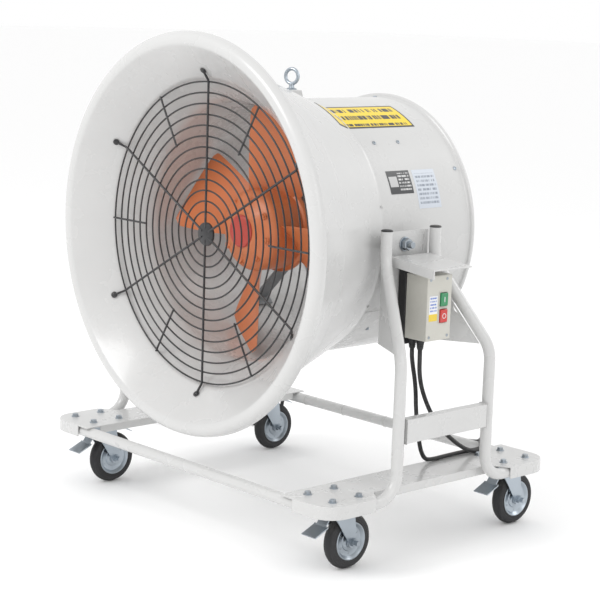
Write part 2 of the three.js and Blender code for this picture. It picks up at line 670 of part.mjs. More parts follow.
function frontGuard() {
  const joined = [rod("y", guard.y - guardEnd.hubHalf, guard.y + guardEnd.hubHalf, guardEnd.hubRadius, 20)];
  for (let i = 0; i < guard.rings; i++) {
    joined.push(ring(guard.radius - i * guardPitch, guard.y, guard.wire));
  }
  const { start, control, end } = hornCurve(0);
  const horn = new THREE.QuadraticBezierCurve(
    new THREE.Vector2(...start), new THREE.Vector2(...control), new THREE.Vector2(...end));
  const seat = horn.getPoint(guardEnd.hornShare);
  const along = horn.getTangent(guardEnd.hornShare);
  const inward = new THREE.Vector2(-along.y, along.x); // off the sheet, into the air
  if (inward.x > 0) inward.negate();
  const chordSag = seat.x * (1 - Math.cos(Math.PI / ROUND));
  const lift = guard.rod + GAP + chordSag;
  const eye = seat.clone().addScaledVector(inward, lift);
  for (let i = 0; i < 6; i++) {
    const turn = THREE.MathUtils.degToRad(30 + 60 * i);
    const elbow = guard.radius + 2;
    joined.push(spoke(guardEnd.hubRadius - 6, elbow + guard.rod, guard.y, guard.rod).rotateY(turn));
    const hook = [new THREE.Vector3(elbow, guard.y, 0), new THREE.Vector3(eye.x, eye.y, 0)];
    joined.push(swept(hook, guard.rod, 6).rotateY(turn));
    const disc = rod("y", -guardEnd.eyeThickness / 2, guardEnd.eyeThickness / 2, guardEnd.eyeRadius, 10);
    disc.rotateZ(Math.atan2(inward.y, inward.x) - Math.PI / 2).translate(eye.x, eye.y, 0).rotateY(turn);
    joined.push(disc);
    const inner = guard.radius - 5 * guardPitch - 3;
    const short = spoke(inner, guard.radius + 1, guard.y, guard.rod - 0.3);
    joined.push(short.rotateY(turn + Math.PI / 6));
  }
  return combine(joined);
}

function rearGuard() {
  const reach = (duct.innerRadius - GAP) * Math.cos(Math.PI / ROUND) - outlet.wire;
  const joined = [rod("y", outlet.y - 3, outlet.y + 3, outlet.hubRadius, 16)];
  for (let i = 0; i < outlet.rings; i++) {
    joined.push(ring(reach - i * outlet.pitch, outlet.y, outlet.wire));
  }
  for (let i = 0; i < outlet.rods; i++) {
    const arm = spoke(outlet.hubRadius - 6, reach, outlet.y, outlet.wire + 0.4);
    joined.push(arm.rotateY((2 * Math.PI * i) / outlet.rods));
  }
  return combine(joined);
}

function motorBody() {
  const outline = [
    [0, motor.front], [motor.bellRadius, motor.front], [motor.radius, motor.front + motor.bell],
    [motor.radius, motor.rear - motor.bell], [motor.bellRadius, motor.rear], [0, motor.rear],
  ];
  const body = new THREE.LatheGeometry(outline.map(([r, y]) => new THREE.Vector2(r, y)), 24);
  const terminal = block(-34, 34, mount.y + mount.width / 2 + 6, motor.rear - motor.bell - 4, motor.radius - 8, motor.radius + 34);
  const bore = rod("y", motor.front - 1, motor.front + 30, motor.shaftRadius + GAP, 14);
  return combine([body, terminal], [bore]);
}

// A collar round the motor and flat arms out to feet on the duct's inner wall.
function motorMount() {
  const y0 = mount.y - mount.width / 2;
  const y1 = mount.y + mount.width / 2;
  const r0 = motor.radius + GAP;
  const joined = [spun([[r0, y0], [r0 + mount.collar, y0], [r0 + mount.collar, y1], [r0, y1]], 24)];
  const wall = duct.innerRadius * Math.cos(Math.PI / ROUND) - GAP;
  const footReach = Math.sqrt(wall ** 2 - (mount.footWidth / 2) ** 2) - GAP;
  for (let i = 0; i < mount.arms; i++) {
    const turn = Math.PI / 4 + (i * 2 * Math.PI) / mount.arms;
    joined.push(block(r0 + 2, footReach - 2, y0 + 8, y1 - 8, -mount.arm / 2, mount.arm / 2).rotateY(turn));
    joined.push(block(footReach - 5, footReach, y0, y1, -mount.footWidth / 2, mount.footWidth / 2).rotateY(turn));
  }
  return combine(joined);
}

function pivotBoss() {
  const from = ductOuter + GAP;
  const to = bracket.webX - 2 * GAP;
  const body = rod("x", from, to, pivot.bossRadius, 20);
  const bore = rod("x", pivotNut.boltInnerX - 3, to + 1, pivot.boreRadius, 16);
  return combine([body], [bore]);
}

// The pad stands on the cone's sheet, its underside cut to clear the slope.
function liftingEye() {
  const slope = (cone.kneeRadius - ductOuter - GAP - cone.sheet) / (cone.rearY - cone.rearLand - cone.kneeY);
  const radiusAt = (y) => cone.kneeRadius - (y - cone.kneeY) * slope;
  const top = eyebolt.padUp;
  const front = eyebolt.y - eyebolt.padRadius;
  const rear = eyebolt.y + eyebolt.padRadius;
  const land = ductOuter + cone.sheet + 3 * GAP;
  const foot = [
    [front, radiusAt(front) + 2 * GAP], [cone.rearY - cone.rearLand, land], [rear, land],
    [rear - 6, top], [front + 6, top],
  ];
  const pad = prism(foot, "x", -eyebolt.padRadius, eyebolt.padRadius);
  const stem = rod("z", top - 4, eyebolt.ringUp - eyebolt.ringRadius, 6.5, 10).translate(0, eyebolt.y, 0);
  const eye = new THREE.TorusGeometry(eyebolt.ringRadius, eyebolt.wire, 8, 20);
  eye.rotateX(Math.PI / 2).rotateZ(THREE.MathUtils.degToRad(eyebolt.turn));
  eye.translate(0, eyebolt.y, eyebolt.ringUp);
  return combine([pad, stem, eye]);
}

add("bell_mouth", bellMouth(), whitePaint, head);
add("outer_cone", outerCone(), whitePaint, head);
add("duct_shell", ductShell(), whitePaint, head);
add("front_guard", frontGuard(), blackWire, head);
add("rear_guard", rearGuard(), blackWire, head);
add("motor_body", motorBody(), greyPaint, head);
add("motor_mount", motorMount(), greyPaint, head);
add("lifting_eye", liftingEye(), zinc, head);
for (const [sideName, side] of SIDES) {
  add("pivot_boss_" + sideName, onSide(pivotBoss(), side), whitePaint, head);
}

// ---------------------------------------------------------------- impeller
// A twisted blade: at each radius a thin section that runs back from its leading edge.
function bladeSolid() {
  const stations = 5;
  const chordSteps = 4;
  const rows = [];
  for (let i = 0; i <= stations; i++) {
    const share = i / stations;
    const radius = THREE.MathUtils.lerp(impeller.rootRadius, impeller.tipRadius, share);
    const span = THREE.MathUtils.lerp(blade.rootSpan, blade.tipSpan, Math.sqrt(share));
    const half = (blade.thickness / 2) * (1 - 0.45 * share);
    const row = [];
    for (const face of [1, -1]) {
      for (let k = 0; k <= chordSteps; k++) {
        const along = face > 0 ? k / chordSteps : 1 - k / chordSteps;
        const degrees = span * (0.5 - along);
        const camber = Math.sin(Math.PI * along) * 9;
        const bulge = half * (0.35 + Math.sin(Math.PI * along) * 0.65);
        const y = THREE.MathUtils.lerp(blade.front, blade.rear, along) + camber + face * bulge;
        const angle = THREE.MathUtils.degToRad(degrees);
        row.push(new THREE.Vector3(radius * Math.cos(angle), y, radius * Math.sin(angle)));
      }
    }
    rows.push(row);
  }
  return loft(rows);
}

// Skins rows of points into one closed solid with flat ends.
function loft(rows) {
  const width = rows[0].length;
  const positions = rows.flat().flatMap((p) => [p.x, p.y, p.z]);
  const index = [];
  for (let i = 0; i < rows.length - 1; i++) {
    for (let k = 0; k < width; k++) {
      const a = i * width + k;
      const b = i * width + ((k + 1) % width);
      index.push(a, b + width, b, a, a + width, b + width);
    }
  }
  const last = (rows.length - 1) * width;
  for (let k = 1; k < width - 1; k++) {
    index.push(0, k, k + 1, last, last + k + 1, last + k);
  }
  const geometry = new THREE.BufferGeometry();
  geometry.setAttribute("position", new THREE.Float32BufferAttribute(positions, 3));
  geometry.setIndex(index);
  return geometry;
}

function impellerWheel() {
  const outline = [
    [0, hub.front], [hub.nose, hub.front], [hub.nose + 6, hub.front + 3],
    [impeller.hubRadius, hub.shoulder], [impeller.hubRadius, hub.rear - hub.flange],
    [hub.flangeRadius, hub.rear - hub.flange + 2], [hub.flangeRadius, hub.rear], [0, hub.rear],
  ];
  const body = new THREE.LatheGeometry(outline.map(([r, y]) => new THREE.Vector2(r, y)), 24);
  const joined = [body];
  for (let i = 0; i < impeller.blades; i++) {
    const turn = -THREE.MathUtils.degToRad(impeller.firstBlade + (360 * i) / impeller.blades);
    joined.push(bladeSolid().rotateY(turn));
  }
  const bore = rod("y", hub.rear - 60, hub.rear + 1, motor.shaftRadius, 14);
  return combine(joined, [bore]);
}

function hubCap() {
  const rear = hub.front - GAP;
  return rod("y", rear - redCap.height, rear, redCap.radius - 3, 20, redCap.radius);
}

function motorShaft() {
  return rod("y", hub.rear - 60 + GAP, motor.front + 30 - GAP, motor.shaftRadius - GAP, 14);
}

add("impeller", impellerWheel(), orangePaint, head);
add("hub_cap", hubCap(), redPaint, head);
add("motor_shaft", motorShaft(), zinc, head);

// ---------------------------------------------------------------- cords
// Moves a hand-laid route with the glands, the plates and the crossbar that it follows.
function relaid(route) {
  const clamp = THREE.MathUtils.clamp;
  const rise = AXIS_HEIGHT - laidOver.axisHeight;
  const lift = plate.top - laidOver.plateTop;
  const reach = foot.crossY + tube.radius - laidOver.crossbarBack;
  return route.map(([x, y, z]) => {
    const hung = clamp((z - 200) / 240, 0, 1);
    const low = clamp(z / 150, 0, 1) * (1 - hung);
    return [x, y + reach * clamp((y - 250) / 100, 0, 1), z + rise * hung + lift * low];
  });
}

// A cord through hand-laid points, with a station every two or three diameters.
function cordTube(route, pitch) {
  const curve = new THREE.CatmullRomCurve3(relaid(route).map((p) => new THREE.Vector3(...p)), false, "centripetal");
  const steps = Math.round(curve.getLength() / pitch);
  return swept(curve.getSpacedPoints(steps), cord.radius, cord.sides);
}

function cordCoil() {
  const { inner, outer, height } = coil;
  const edge = 4;
  const outline = [
    [inner, edge], [inner + edge, 0], [outer - edge, 0], [outer, edge],
    [outer, height - edge], [outer - edge, height], [inner + edge, height], [inner, height - edge],
  ];
  const ring = spun(outline, 24).rotateX(Math.PI / 2);
  const x = cord.radius - outer;
  const tail = swept([
    new THREE.Vector3(x, -coil.tailStart, cord.radius + GAP),
    new THREE.Vector3(x, 12 - coil.tailEnd, plug.bodyRadius),
    new THREE.Vector3(x, -coil.tailEnd, plug.bodyRadius),
  ], cord.radius, cord.sides);
  return combine([ring, tail]).translate(coil.x, coil.y, 0);
}

// Lies beside the coil with its cord end against the coil's outer turn.
function supplyPlug() {
  const { bodyRadius, bodyLength, nose, collar } = plug;
  const outline = [
    [0, 0], [9, 0], [11, 18], [bodyRadius - 3, 30], [bodyRadius - 2, bodyLength],
    [bodyRadius, bodyLength + 2], [bodyRadius, bodyLength + collar], [0, bodyLength + collar],
  ];
  const body = new THREE.LatheGeometry(outline.map(([r, y]) => new THREE.Vector2(r, y)), 16);
  const joined = [body];
  for (let i = 0; i < 3; i++) {
    const angle = (2 * Math.PI * i) / 3 + Math.PI / 2;
    const pin = rod("y", bodyLength + collar - 1, bodyLength + collar + nose, 3.2, 8);
    joined.push(pin.translate(12 * Math.cos(angle), 0, 12 * Math.sin(angle)));
  }
  return combine(joined);
}

// Sits on the rear crossbar where the lead ends, square to the lead's last stretch.
function leadGrommet() {
  const [last, before] = relaid(leadRoute).slice(-2).reverse().map((p) => new THREE.Vector3(...p));
  const heading = last.clone().sub(before).normalize();
  const from = last.clone().addScaledVector(heading, ANGLED_GAP);
  const to = from.clone().addScaledVector(heading, grommet.height);
  const bar = rod("x", from.x - 40, from.x + 40, tube.radius + GAP, 16);
  bar.translate(0, foot.crossY, baseTubeZ);
  return combine([swept([from, to], grommet.radius, 12)], [bar]);
}

add("lead_grommet", leadGrommet(), blackPlastic);
add("supply_cord", cordTube(supplyRoute, 27), cordRubber);
add("motor_lead", cordTube(leadRoute, 27), cordRubber);
add("cord_coil", cordCoil(), cordRubber);
const plugMesh = add("plug", supplyPlug(), blackPlastic);
plugMesh.rotation.z = Math.PI;
plugMesh.position.set(coil.x - coil.outer + cord.radius, coil.y - coil.tailEnd - 2 * GAP, plug.bodyRadius);

export default machine;
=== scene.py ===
"""Looks of a mobile axial air mover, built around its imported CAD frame.

Metres, +Z up, bell mouth facing -Y, switch box on the +X side. Sizes inside the
classes are in millimetres from the fan axis (head) or the floor (trolley).
"""
import logging
import math
from dataclasses import dataclass, field, replace
from enum import Enum
from typing import Optional, Sequence

import bmesh
import bpy
from mathutils import Matrix, Vector


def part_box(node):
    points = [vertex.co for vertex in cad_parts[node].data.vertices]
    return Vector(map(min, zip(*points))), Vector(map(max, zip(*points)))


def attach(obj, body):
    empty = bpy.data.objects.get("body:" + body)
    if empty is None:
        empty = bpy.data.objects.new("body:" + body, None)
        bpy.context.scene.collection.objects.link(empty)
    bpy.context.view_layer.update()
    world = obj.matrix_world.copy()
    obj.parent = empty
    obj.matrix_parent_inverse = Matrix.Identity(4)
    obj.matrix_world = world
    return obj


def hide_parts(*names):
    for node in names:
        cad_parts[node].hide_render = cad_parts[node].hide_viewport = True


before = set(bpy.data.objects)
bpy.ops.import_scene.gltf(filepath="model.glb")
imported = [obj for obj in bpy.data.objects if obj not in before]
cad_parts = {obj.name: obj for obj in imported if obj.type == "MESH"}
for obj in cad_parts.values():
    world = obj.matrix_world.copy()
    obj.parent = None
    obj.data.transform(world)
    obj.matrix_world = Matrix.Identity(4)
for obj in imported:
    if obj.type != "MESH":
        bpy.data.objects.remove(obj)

log = logging.getLogger("air_mover")
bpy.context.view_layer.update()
MM = 0.001
SIDES = (("right", 1.0), ("left", -1.0))
ENDS = (("front", -1.0), ("rear", 1.0))
Pair = tuple[float, float]
Triple = tuple[float, float, float]


def middle(node: str, axis: int) -> float:
    """Middle of a CAD node's box along one axis, in metres."""
    low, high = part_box(node)
    return (low[axis] + high[axis]) / 2


PIVOT_Y = middle("side_bracket_right", 1)
AXIS_Z = middle("duct_shell", 2)
IN_TROLLEY = Matrix.Translation((0, PIVOT_Y, 0)) @ Matrix.Scale(MM, 4)
IN_HEAD = Matrix.Translation((0, PIVOT_Y, AXIS_Z)) @ Matrix.Scale(MM, 4)
ALONG_X = Matrix.Rotation(math.pi / 2, 4, "Y")
ALONG_Y = Matrix.Rotation(-math.pi / 2, 4, "X")
UPRIGHT = Matrix.Identity(4)


# ---------------------------------------------------------------- shapes
@dataclass
class Shape:
    """Points and faces of a mesh being made.

    Args:
        points: corner points.
        faces: corner numbers of each face.
    """

    points: list[Vector] = field(default_factory=list)
    faces: list[tuple[int, ...]] = field(default_factory=list)

    def moved(self, matrix: Matrix) -> "Shape":
        """The same shape under a transform."""
        return Shape([matrix @ p for p in self.points], list(self.faces))

    def __add__(self, other: "Shape") -> "Shape":
        """Both shapes in one."""
        start = len(self.points)
        shifted = [tuple(i + start for i in f) for f in other.faces]
        return Shape(self.points + other.points, self.faces + shifted)


def lathe(outline: Sequence[Pair], segments: int, axis: Matrix = ALONG_Y) -> Shape:
    """Spins an outline round an axis.

    Args:
        outline: (radius, along) points; closed on itself unless both ends are on the axis.
        segments: number of sides round the axis.
        axis: turn from +Z to the axis.

    Returns:
        A closed shape.
    """
    count = len(outline)
    open_ended = outline[0][0] == 0 and outline[-1][0] == 0
    points = []
    for i in range(segments):
        angle = 2 * math.pi * i / segments
        for radius, along in outline:
            points.append(Vector((radius * math.cos(angle), radius * math.sin(angle), along)))
    faces = []
    for i in range(segments):
        here, ahead = i * count, ((i + 1) % segments) * count
        for k in range(count - 1 if open_ended else count):
            n = (k + 1) % count
            faces.append((here + k, ahead + k, ahead + n, here + n))
    return Shape(points, faces).moved(axis)


def tube(path: Sequence[Vector], radius: float, sides: int, closed: bool = False) -> Shape:
    """A round bar along a path, with flat ends unless it closes on itself."""
    count = len(path)
    points, faces = [], []
    across: Optional[Vector] = None
    for i, here in enumerate(path):
        before = path[i - 1] if i or closed else here
        after = path[(i + 1) % count] if i < count - 1 or closed else here
        heading = (after - before).normalized()
        if across is None:
            across = heading.orthogonal().normalized()
        across = (across - heading * across.dot(heading)).normalized()
        beside = heading.cross(across)
        for k in range(sides):
            angle = 2 * math.pi * k / sides
            points.append(here + (across * math.cos(angle) + beside * math.sin(angle)) * radius)
    for i in range(count if closed else count - 1):
        here, ahead = i * sides, ((i + 1) % count) * sides
        for k in range(sides):
            n = (k + 1) % sides
            faces.append((here + k, here + n, ahead + n, ahead + k))
    if not closed:
        faces.append(tuple(reversed(range(sides))))
        faces.append(tuple(range((count - 1) * sides, count * sides)))
    return Shape(points, faces)


def slab(outline: Sequence[Pair], low: float, high: float, axis: Matrix = UPRIGHT) -> Shape:
    """A flat sheet of an outline in X and Y, from one height to another, turned to an axis."""
    count = len(outline)
    points = [Vector((x, y, z)) for z in (low, high) for x, y in outline]
    faces = [tuple(reversed(range(count))), tuple(range(count, 2 * count))]
    for k in range(count):
        n = (k + 1) % count
        faces.append((k, n, n + count, k + count))
    return Shape(points, faces).moved(axis)


def block(low: Triple, high: Triple) -> Shape:
    """A box between two corners."""
    outline = [(low[0], low[1]), (high[0], low[1]), (high[0], high[1]), (low[0], high[1])]
    return slab(outline, low[2], high[2])


def arc(centre: Pair, radius: float, start: float, stop: float, steps: int) -> list[Pair]:
    """Points of an arc between two angles in degrees."""
    angles = [math.radians(start + (stop - start) * i / steps) for i in range(steps + 1)]
    return [(centre[0] + radius * math.cos(a), centre[1] + radius * math.sin(a)) for a in angles]


def quadratic(start: Pair, control: Pair, end: Pair, steps: int) -> list[Pair]:
    """Points of a quadratic curve."""
    made = []
    for i in range(steps + 1):
        t = i / steps
        made.append(tuple((1 - t) ** 2 * a + 2 * t * (1 - t) * b + t * t * c
                          for a, b, c in zip(start, control, end)))
    return made


def bent_run(corners: Sequence[tuple[Vector, float]], step_angle: float = 4.0) -> list[Vector]:
    """Straight runs through corner points, each rounded to its bend radius.

    Args:
        corners: each corner's place and bend radius; the two ends have none.
        step_angle: degrees of bend between stations.

    Returns:
        The stations of the bent path.
    """
    stations = [corners[0][0]]
    for i in range(1, len(corners) - 1):
        here, bend = corners[i]
        back = (corners[i - 1][0] - here).normalized()
        ahead = (corners[i + 1][0] - here).normalized()
        half = back.angle(ahead) / 2
        centre = here + (back + ahead).normalized() * (bend / math.sin(half))
        start = here + back * (bend / math.tan(half)) - centre
        end = here + ahead * (bend / math.tan(half)) - centre
        turn = start.angle(end)
        steps = max(3, round(math.degrees(turn) / step_angle))
        for k in range(steps + 1):
            share = k / steps
            stations.append(centre + start * (math.sin((1 - share) * turn) / math.sin(turn))
                            + end * (math.sin(share * turn) / math.sin(turn)))
    stations.append(corners[-1][0])
    return stations


def smooth_path(points: Sequence[Vector], pitch: float) -> list[Vector]:
    """A centripetal curve through points, with stations about a pitch apart."""
    padded = [points[0] * 2 - points[1], *points, points[-1] * 2 - points[-2]]
    made = [points[0].copy()]
    for p0, p1, p2, p3 in zip(padded, padded[1:], padded[2:], padded[3:]):
        t1 = (p1 - p0).length ** 0.5
        t2 = t1 + (p2 - p1).length ** 0.5
        t3 = t2 + (p3 - p2).length ** 0.5
        steps = max(1, round((p2 - p1).length / pitch))
        for k in range(1, steps + 1):
            t = t1 + (t2 - t1) * k / steps
            a1 = p0 * ((t1 - t) / t1) + p1 * (t / t1)
            a2 = p1 * ((t2 - t) / (t2 - t1)) + p2 * ((t - t1) / (t2 - t1))
            a3 = p2 * ((t3 - t) / (t3 - t2)) + p3 * ((t - t2) / (t3 - t2))
            b1 = a1 * ((t2 - t) / t2) + a2 * (t / t2)
            b2 = a2 * ((t3 - t) / (t3 - t1)) + a3 * ((t - t1) / (t3 - t1))
            made.append(b1 * ((t2 - t) / (t2 - t1)) + b2 * ((t - t1) / (t2 - t1)))
    return made


# ---------------------------------------------------------------- finishes
class Sheet(Enum):
    """Material slots of the record, each named by one or more finishes."""

    WHITE = "white_paint"
    WIRE = "black_wire"
    ORANGE = "orange_paint"
    RED = "red_paint"
    GREY = "grey_paint"
    ZINC = "zinc_plate"
    BLACK = "black_plastic"
    CASE = "pale_case"
    GREEN_KEY = "green_plastic"
    RED_KEY = "red_plastic"
    TYRE = "tyre"
    CORD = "cord_rubber"


class ShaderTools:
    """Shader node groups that the finishes share, each built once."""

    made: dict[str, bpy.types.NodeTree] = {}

    @classmethod
    def tree(cls, name: str, inputs: Sequence[tuple[str, str, object]],
             outputs: Sequence[tuple[str, str]]) -> tuple[bpy.types.NodeTree, bpy.types.Node, bpy.types.Node]:
        """Starts a group with named sockets.

        Args:
            name: the group's name.
            inputs: name, kind and default of each input.
            outputs: name and kind of each output.

        Returns:
            The tree, its input node and its output node.
        """
        tree = bpy.data.node_groups.new(name, "ShaderNodeTree")
        for label, kind, default in inputs:
            socket = tree.interface.new_socket(name=label, in_out="INPUT", socket_type="NodeSocket" + kind)
            if default is not None:
                socket.default_value = default
        for label, kind in outputs:
            tree.interface.new_socket(name=label, in_out="OUTPUT", socket_type="NodeSocket" + kind)
        cls.made[name] = tree
        return tree, tree.nodes.new("NodeGroupInput"), tree.nodes.new("NodeGroupOutput")

    @staticmethod
    def noise(tree: bpy.types.NodeTree, vector: bpy.types.NodeSocket, scale: float | bpy.types.NodeSocket,
              detail: float = 3.0) -> bpy.types.NodeSocket:
        """A noise value over a vector."""
        node = tree.nodes.new("ShaderNodeTexNoise")
        node.inputs["Detail"].default_value = detail
        tree.links.new(vector, node.inputs["Vector"])
        ShaderTools.feed(tree, scale, node.inputs["Scale"])
        return node.outputs["Fac"]

    @staticmethod
    def feed(tree: bpy.types.NodeTree, value: object, socket: bpy.types.NodeSocket) -> None:
        """Links a socket or sets a plain value."""
        if isinstance(value, bpy.types.NodeSocket):
            tree.links.new(value, socket)
        else:
            socket.default_value = value

    @staticmethod
    def math(tree: bpy.types.NodeTree, operation: str, *values: object,
             clamp: bool = False) -> bpy.types.NodeSocket:
        """A math node over sockets or numbers."""
        node = tree.nodes.new("ShaderNodeMath")
        node.operation = operation
        node.use_clamp = clamp
        for value, socket in zip(values, node.inputs):
            ShaderTools.feed(tree, value, socket)
        return node.outputs[0]

    @staticmethod
    def mix(tree: bpy.types.NodeTree, factor: object, a: object, b: object) -> bpy.types.NodeSocket:
        """A colour between two colours."""
        node = tree.nodes.new("ShaderNodeMix")
        node.data_type = "RGBA"
        ShaderTools.feed(tree, factor, node.inputs[0])
        ShaderTools.feed(tree, a, node.inputs[6])
        ShaderTools.feed(tree, b, node.inputs[7])
        return node.outputs[2]

    @staticmethod
    def ramp(tree: bpy.types.NodeTree, value: object, low: float, high: float) -> bpy.types.NodeSocket:
        """A value stretched so that low gives 0 and high gives 1."""
        node = tree.nodes.new("ShaderNodeMapRange")
        ShaderTools.feed(tree, value, node.inputs["Value"])
        node.inputs["From Min"].default_value = low
        node.inputs["From Max"].default_value = high
        return node.outputs["Result"]

    @classmethod
    def mottle(cls) -> bpy.types.NodeTree:
        """Slow light and dark variation of a colour."""
        if "slow_mottle" not in cls.made:
            tree, given, out = cls.tree("slow_mottle", [("Vector", "Vector", None), ("Color", "Color", None),
                                        ("Amount", "Float", 0.05), ("Scale", "Float", 6.0)], [("Color", "Color")])
            value = cls.noise(tree, given.outputs["Vector"], given.outputs["Scale"])
            shade = cls.math(tree, "MULTIPLY", cls.ramp(tree, value, 0.35, 0.65), given.outputs["Amount"])
            shaded = cls.mix(tree, shade, given.outputs["Color"], (0.03, 0.03, 0.03, 1))
            tree.links.new(shaded, out.inputs["Color"])
        return cls.made["slow_mottle"]

    @classmethod
    def wear(cls) -> bpy.types.NodeTree:
        """Rubbed edges in another colour."""
        if "rubbed_edges" not in cls.made:
            tree, given, out = cls.tree("rubbed_edges", [("Vector", "Vector", None), ("Color", "Color", None),
                                        ("Worn", "Color", None), ("Amount", "Float", 0.3)],
                                        [("Color", "Color"), ("Mask", "Float")])
            sharp = cls.ramp(tree, tree.nodes.new("ShaderNodeNewGeometry").outputs["Pointiness"], 0.53, 0.62)
            broken = cls.ramp(tree, cls.noise(tree, given.outputs["Vector"], 90.0), 0.45, 0.62)
            mask = cls.math(tree, "MULTIPLY", cls.math(tree, "MULTIPLY", sharp, broken),
                            given.outputs["Amount"])
            rubbed = cls.mix(tree, mask, given.outputs["Color"], given.outputs["Worn"])
            tree.links.new(rubbed, out.inputs["Color"])
            tree.links.new(mask, out.inputs["Mask"])
        return cls.made["rubbed_edges"]

    @classmethod
    def dust(cls) -> bpy.types.NodeTree:
        """Dust that settles on faces that look up."""
        if "settled_dust" not in cls.made:
            tree, given, out = cls.tree("settled_dust", [("Vector", "Vector", None), ("Color", "Color", None),
                                        ("Amount", "Float", 0.2)], [("Color", "Color"), ("Mask", "Float")])
            parts = tree.nodes.new("ShaderNodeSeparateXYZ")
            tree.links.new(tree.nodes.new("ShaderNodeNewGeometry").outputs["Normal"], parts.inputs[0])
            upward = cls.ramp(tree, parts.outputs["Z"], 0.2, 1.0)
            patch = cls.ramp(tree, cls.noise(tree, given.outputs["Vector"], 14.0, 6.0), 0.4, 0.7)
            mask = cls.math(tree, "MULTIPLY", cls.math(tree, "MULTIPLY", upward, patch),
                            given.outputs["Amount"])
            dusty = cls.mix(tree, mask, given.outputs["Color"], (0.42, 0.39, 0.34, 1))
            tree.links.new(dusty, out.inputs["Color"])
            tree.links.new(mask, out.inputs["Mask"])
        return cls.made["settled_dust"]

    @classmethod
    def grain(cls) -> bpy.types.NodeTree:
        """Height of a fine surface grain, drawn out along one axis if stretched."""
        if "fine_grain" not in cls.made:
            tree, given, out = cls.tree("fine_grain", [("Vector", "Vector", None), ("Scale", "Float", 400.0),
                                        ("Stretch", "Vector", (1, 1, 1))], [("Height", "Float")])
            drawn = tree.nodes.new("ShaderNodeVectorMath")
            drawn.operation = "MULTIPLY"
            tree.links.new(given.outputs["Vector"], drawn.inputs[0])
            tree.links.new(given.outputs["Stretch"], drawn.inputs[1])
            tree.links.new(cls.noise(tree, drawn.outputs[0], given.outputs["Scale"], 2.0), out.inputs["Height"])
        return cls.made["fine_grain"]

    @classmethod
    def rows(cls) -> bpy.types.NodeTree:
        """Broken printed rows over a label's own map, with a margin and no lettering."""
        if "printed_rows" not in cls.made:
            tree, given, out = cls.tree("printed_rows", [("Vector", "Vector", None), ("Rows", "Float", 6.0),
                                        ("Start", "Vector", (0.1, 0.1, 0)), ("End", "Vector", (0.9, 0.9, 0)),
                                        ("Breaks", "Float", 14.0)], [("Mask", "Float")])
            at, low, high = (tree.nodes.new("ShaderNodeSeparateXYZ") for _ in range(3))
            for node, label in ((at, "Vector"), (low, "Start"), (high, "End")):
                tree.links.new(given.outputs[label], node.inputs[0])
            inside: object = 1.0
            for axis in ("X", "Y"):
                above = cls.math(tree, "GREATER_THAN", at.outputs[axis], low.outputs[axis])
                below = cls.math(tree, "LESS_THAN", at.outputs[axis], high.outputs[axis])
                inside = cls.math(tree, "MULTIPLY", inside, cls.math(tree, "MULTIPLY", above, below))
            row = cls.math(tree, "MULTIPLY", at.outputs["Y"], given.outputs["Rows"])
            stroke = cls.math(tree, "LESS_THAN", cls.math(tree, "FRACT", row), 0.52)
            seat = tree.nodes.new("ShaderNodeCombineXYZ")
            tree.links.new(cls.math(tree, "MULTIPLY", at.outputs["X"], given.outputs["Breaks"]), seat.inputs[0])
            tree.links.new(cls.math(tree, "FLOOR", row), seat.inputs[1])
            broken = cls.math(tree, "GREATER_THAN", cls.noise(tree, seat.outputs[0], 3.1, 1.0), 0.46)
            mask = cls.math(tree, "MULTIPLY", cls.math(tree, "MULTIPLY", stroke, broken), inside)
            tree.links.new(mask, out.inputs["Mask"])
        return cls.made["printed_rows"]

    @staticmethod
    def place(tree: bpy.types.NodeTree, group: bpy.types.NodeTree, **values: object) -> bpy.types.Node:
        """Puts a group into a material with its own values."""
        node = tree.nodes.new("ShaderNodeGroup")
        node.node_tree = group
        for label, value in values.items():
            ShaderTools.feed(tree, value, node.inputs[label])
        return node


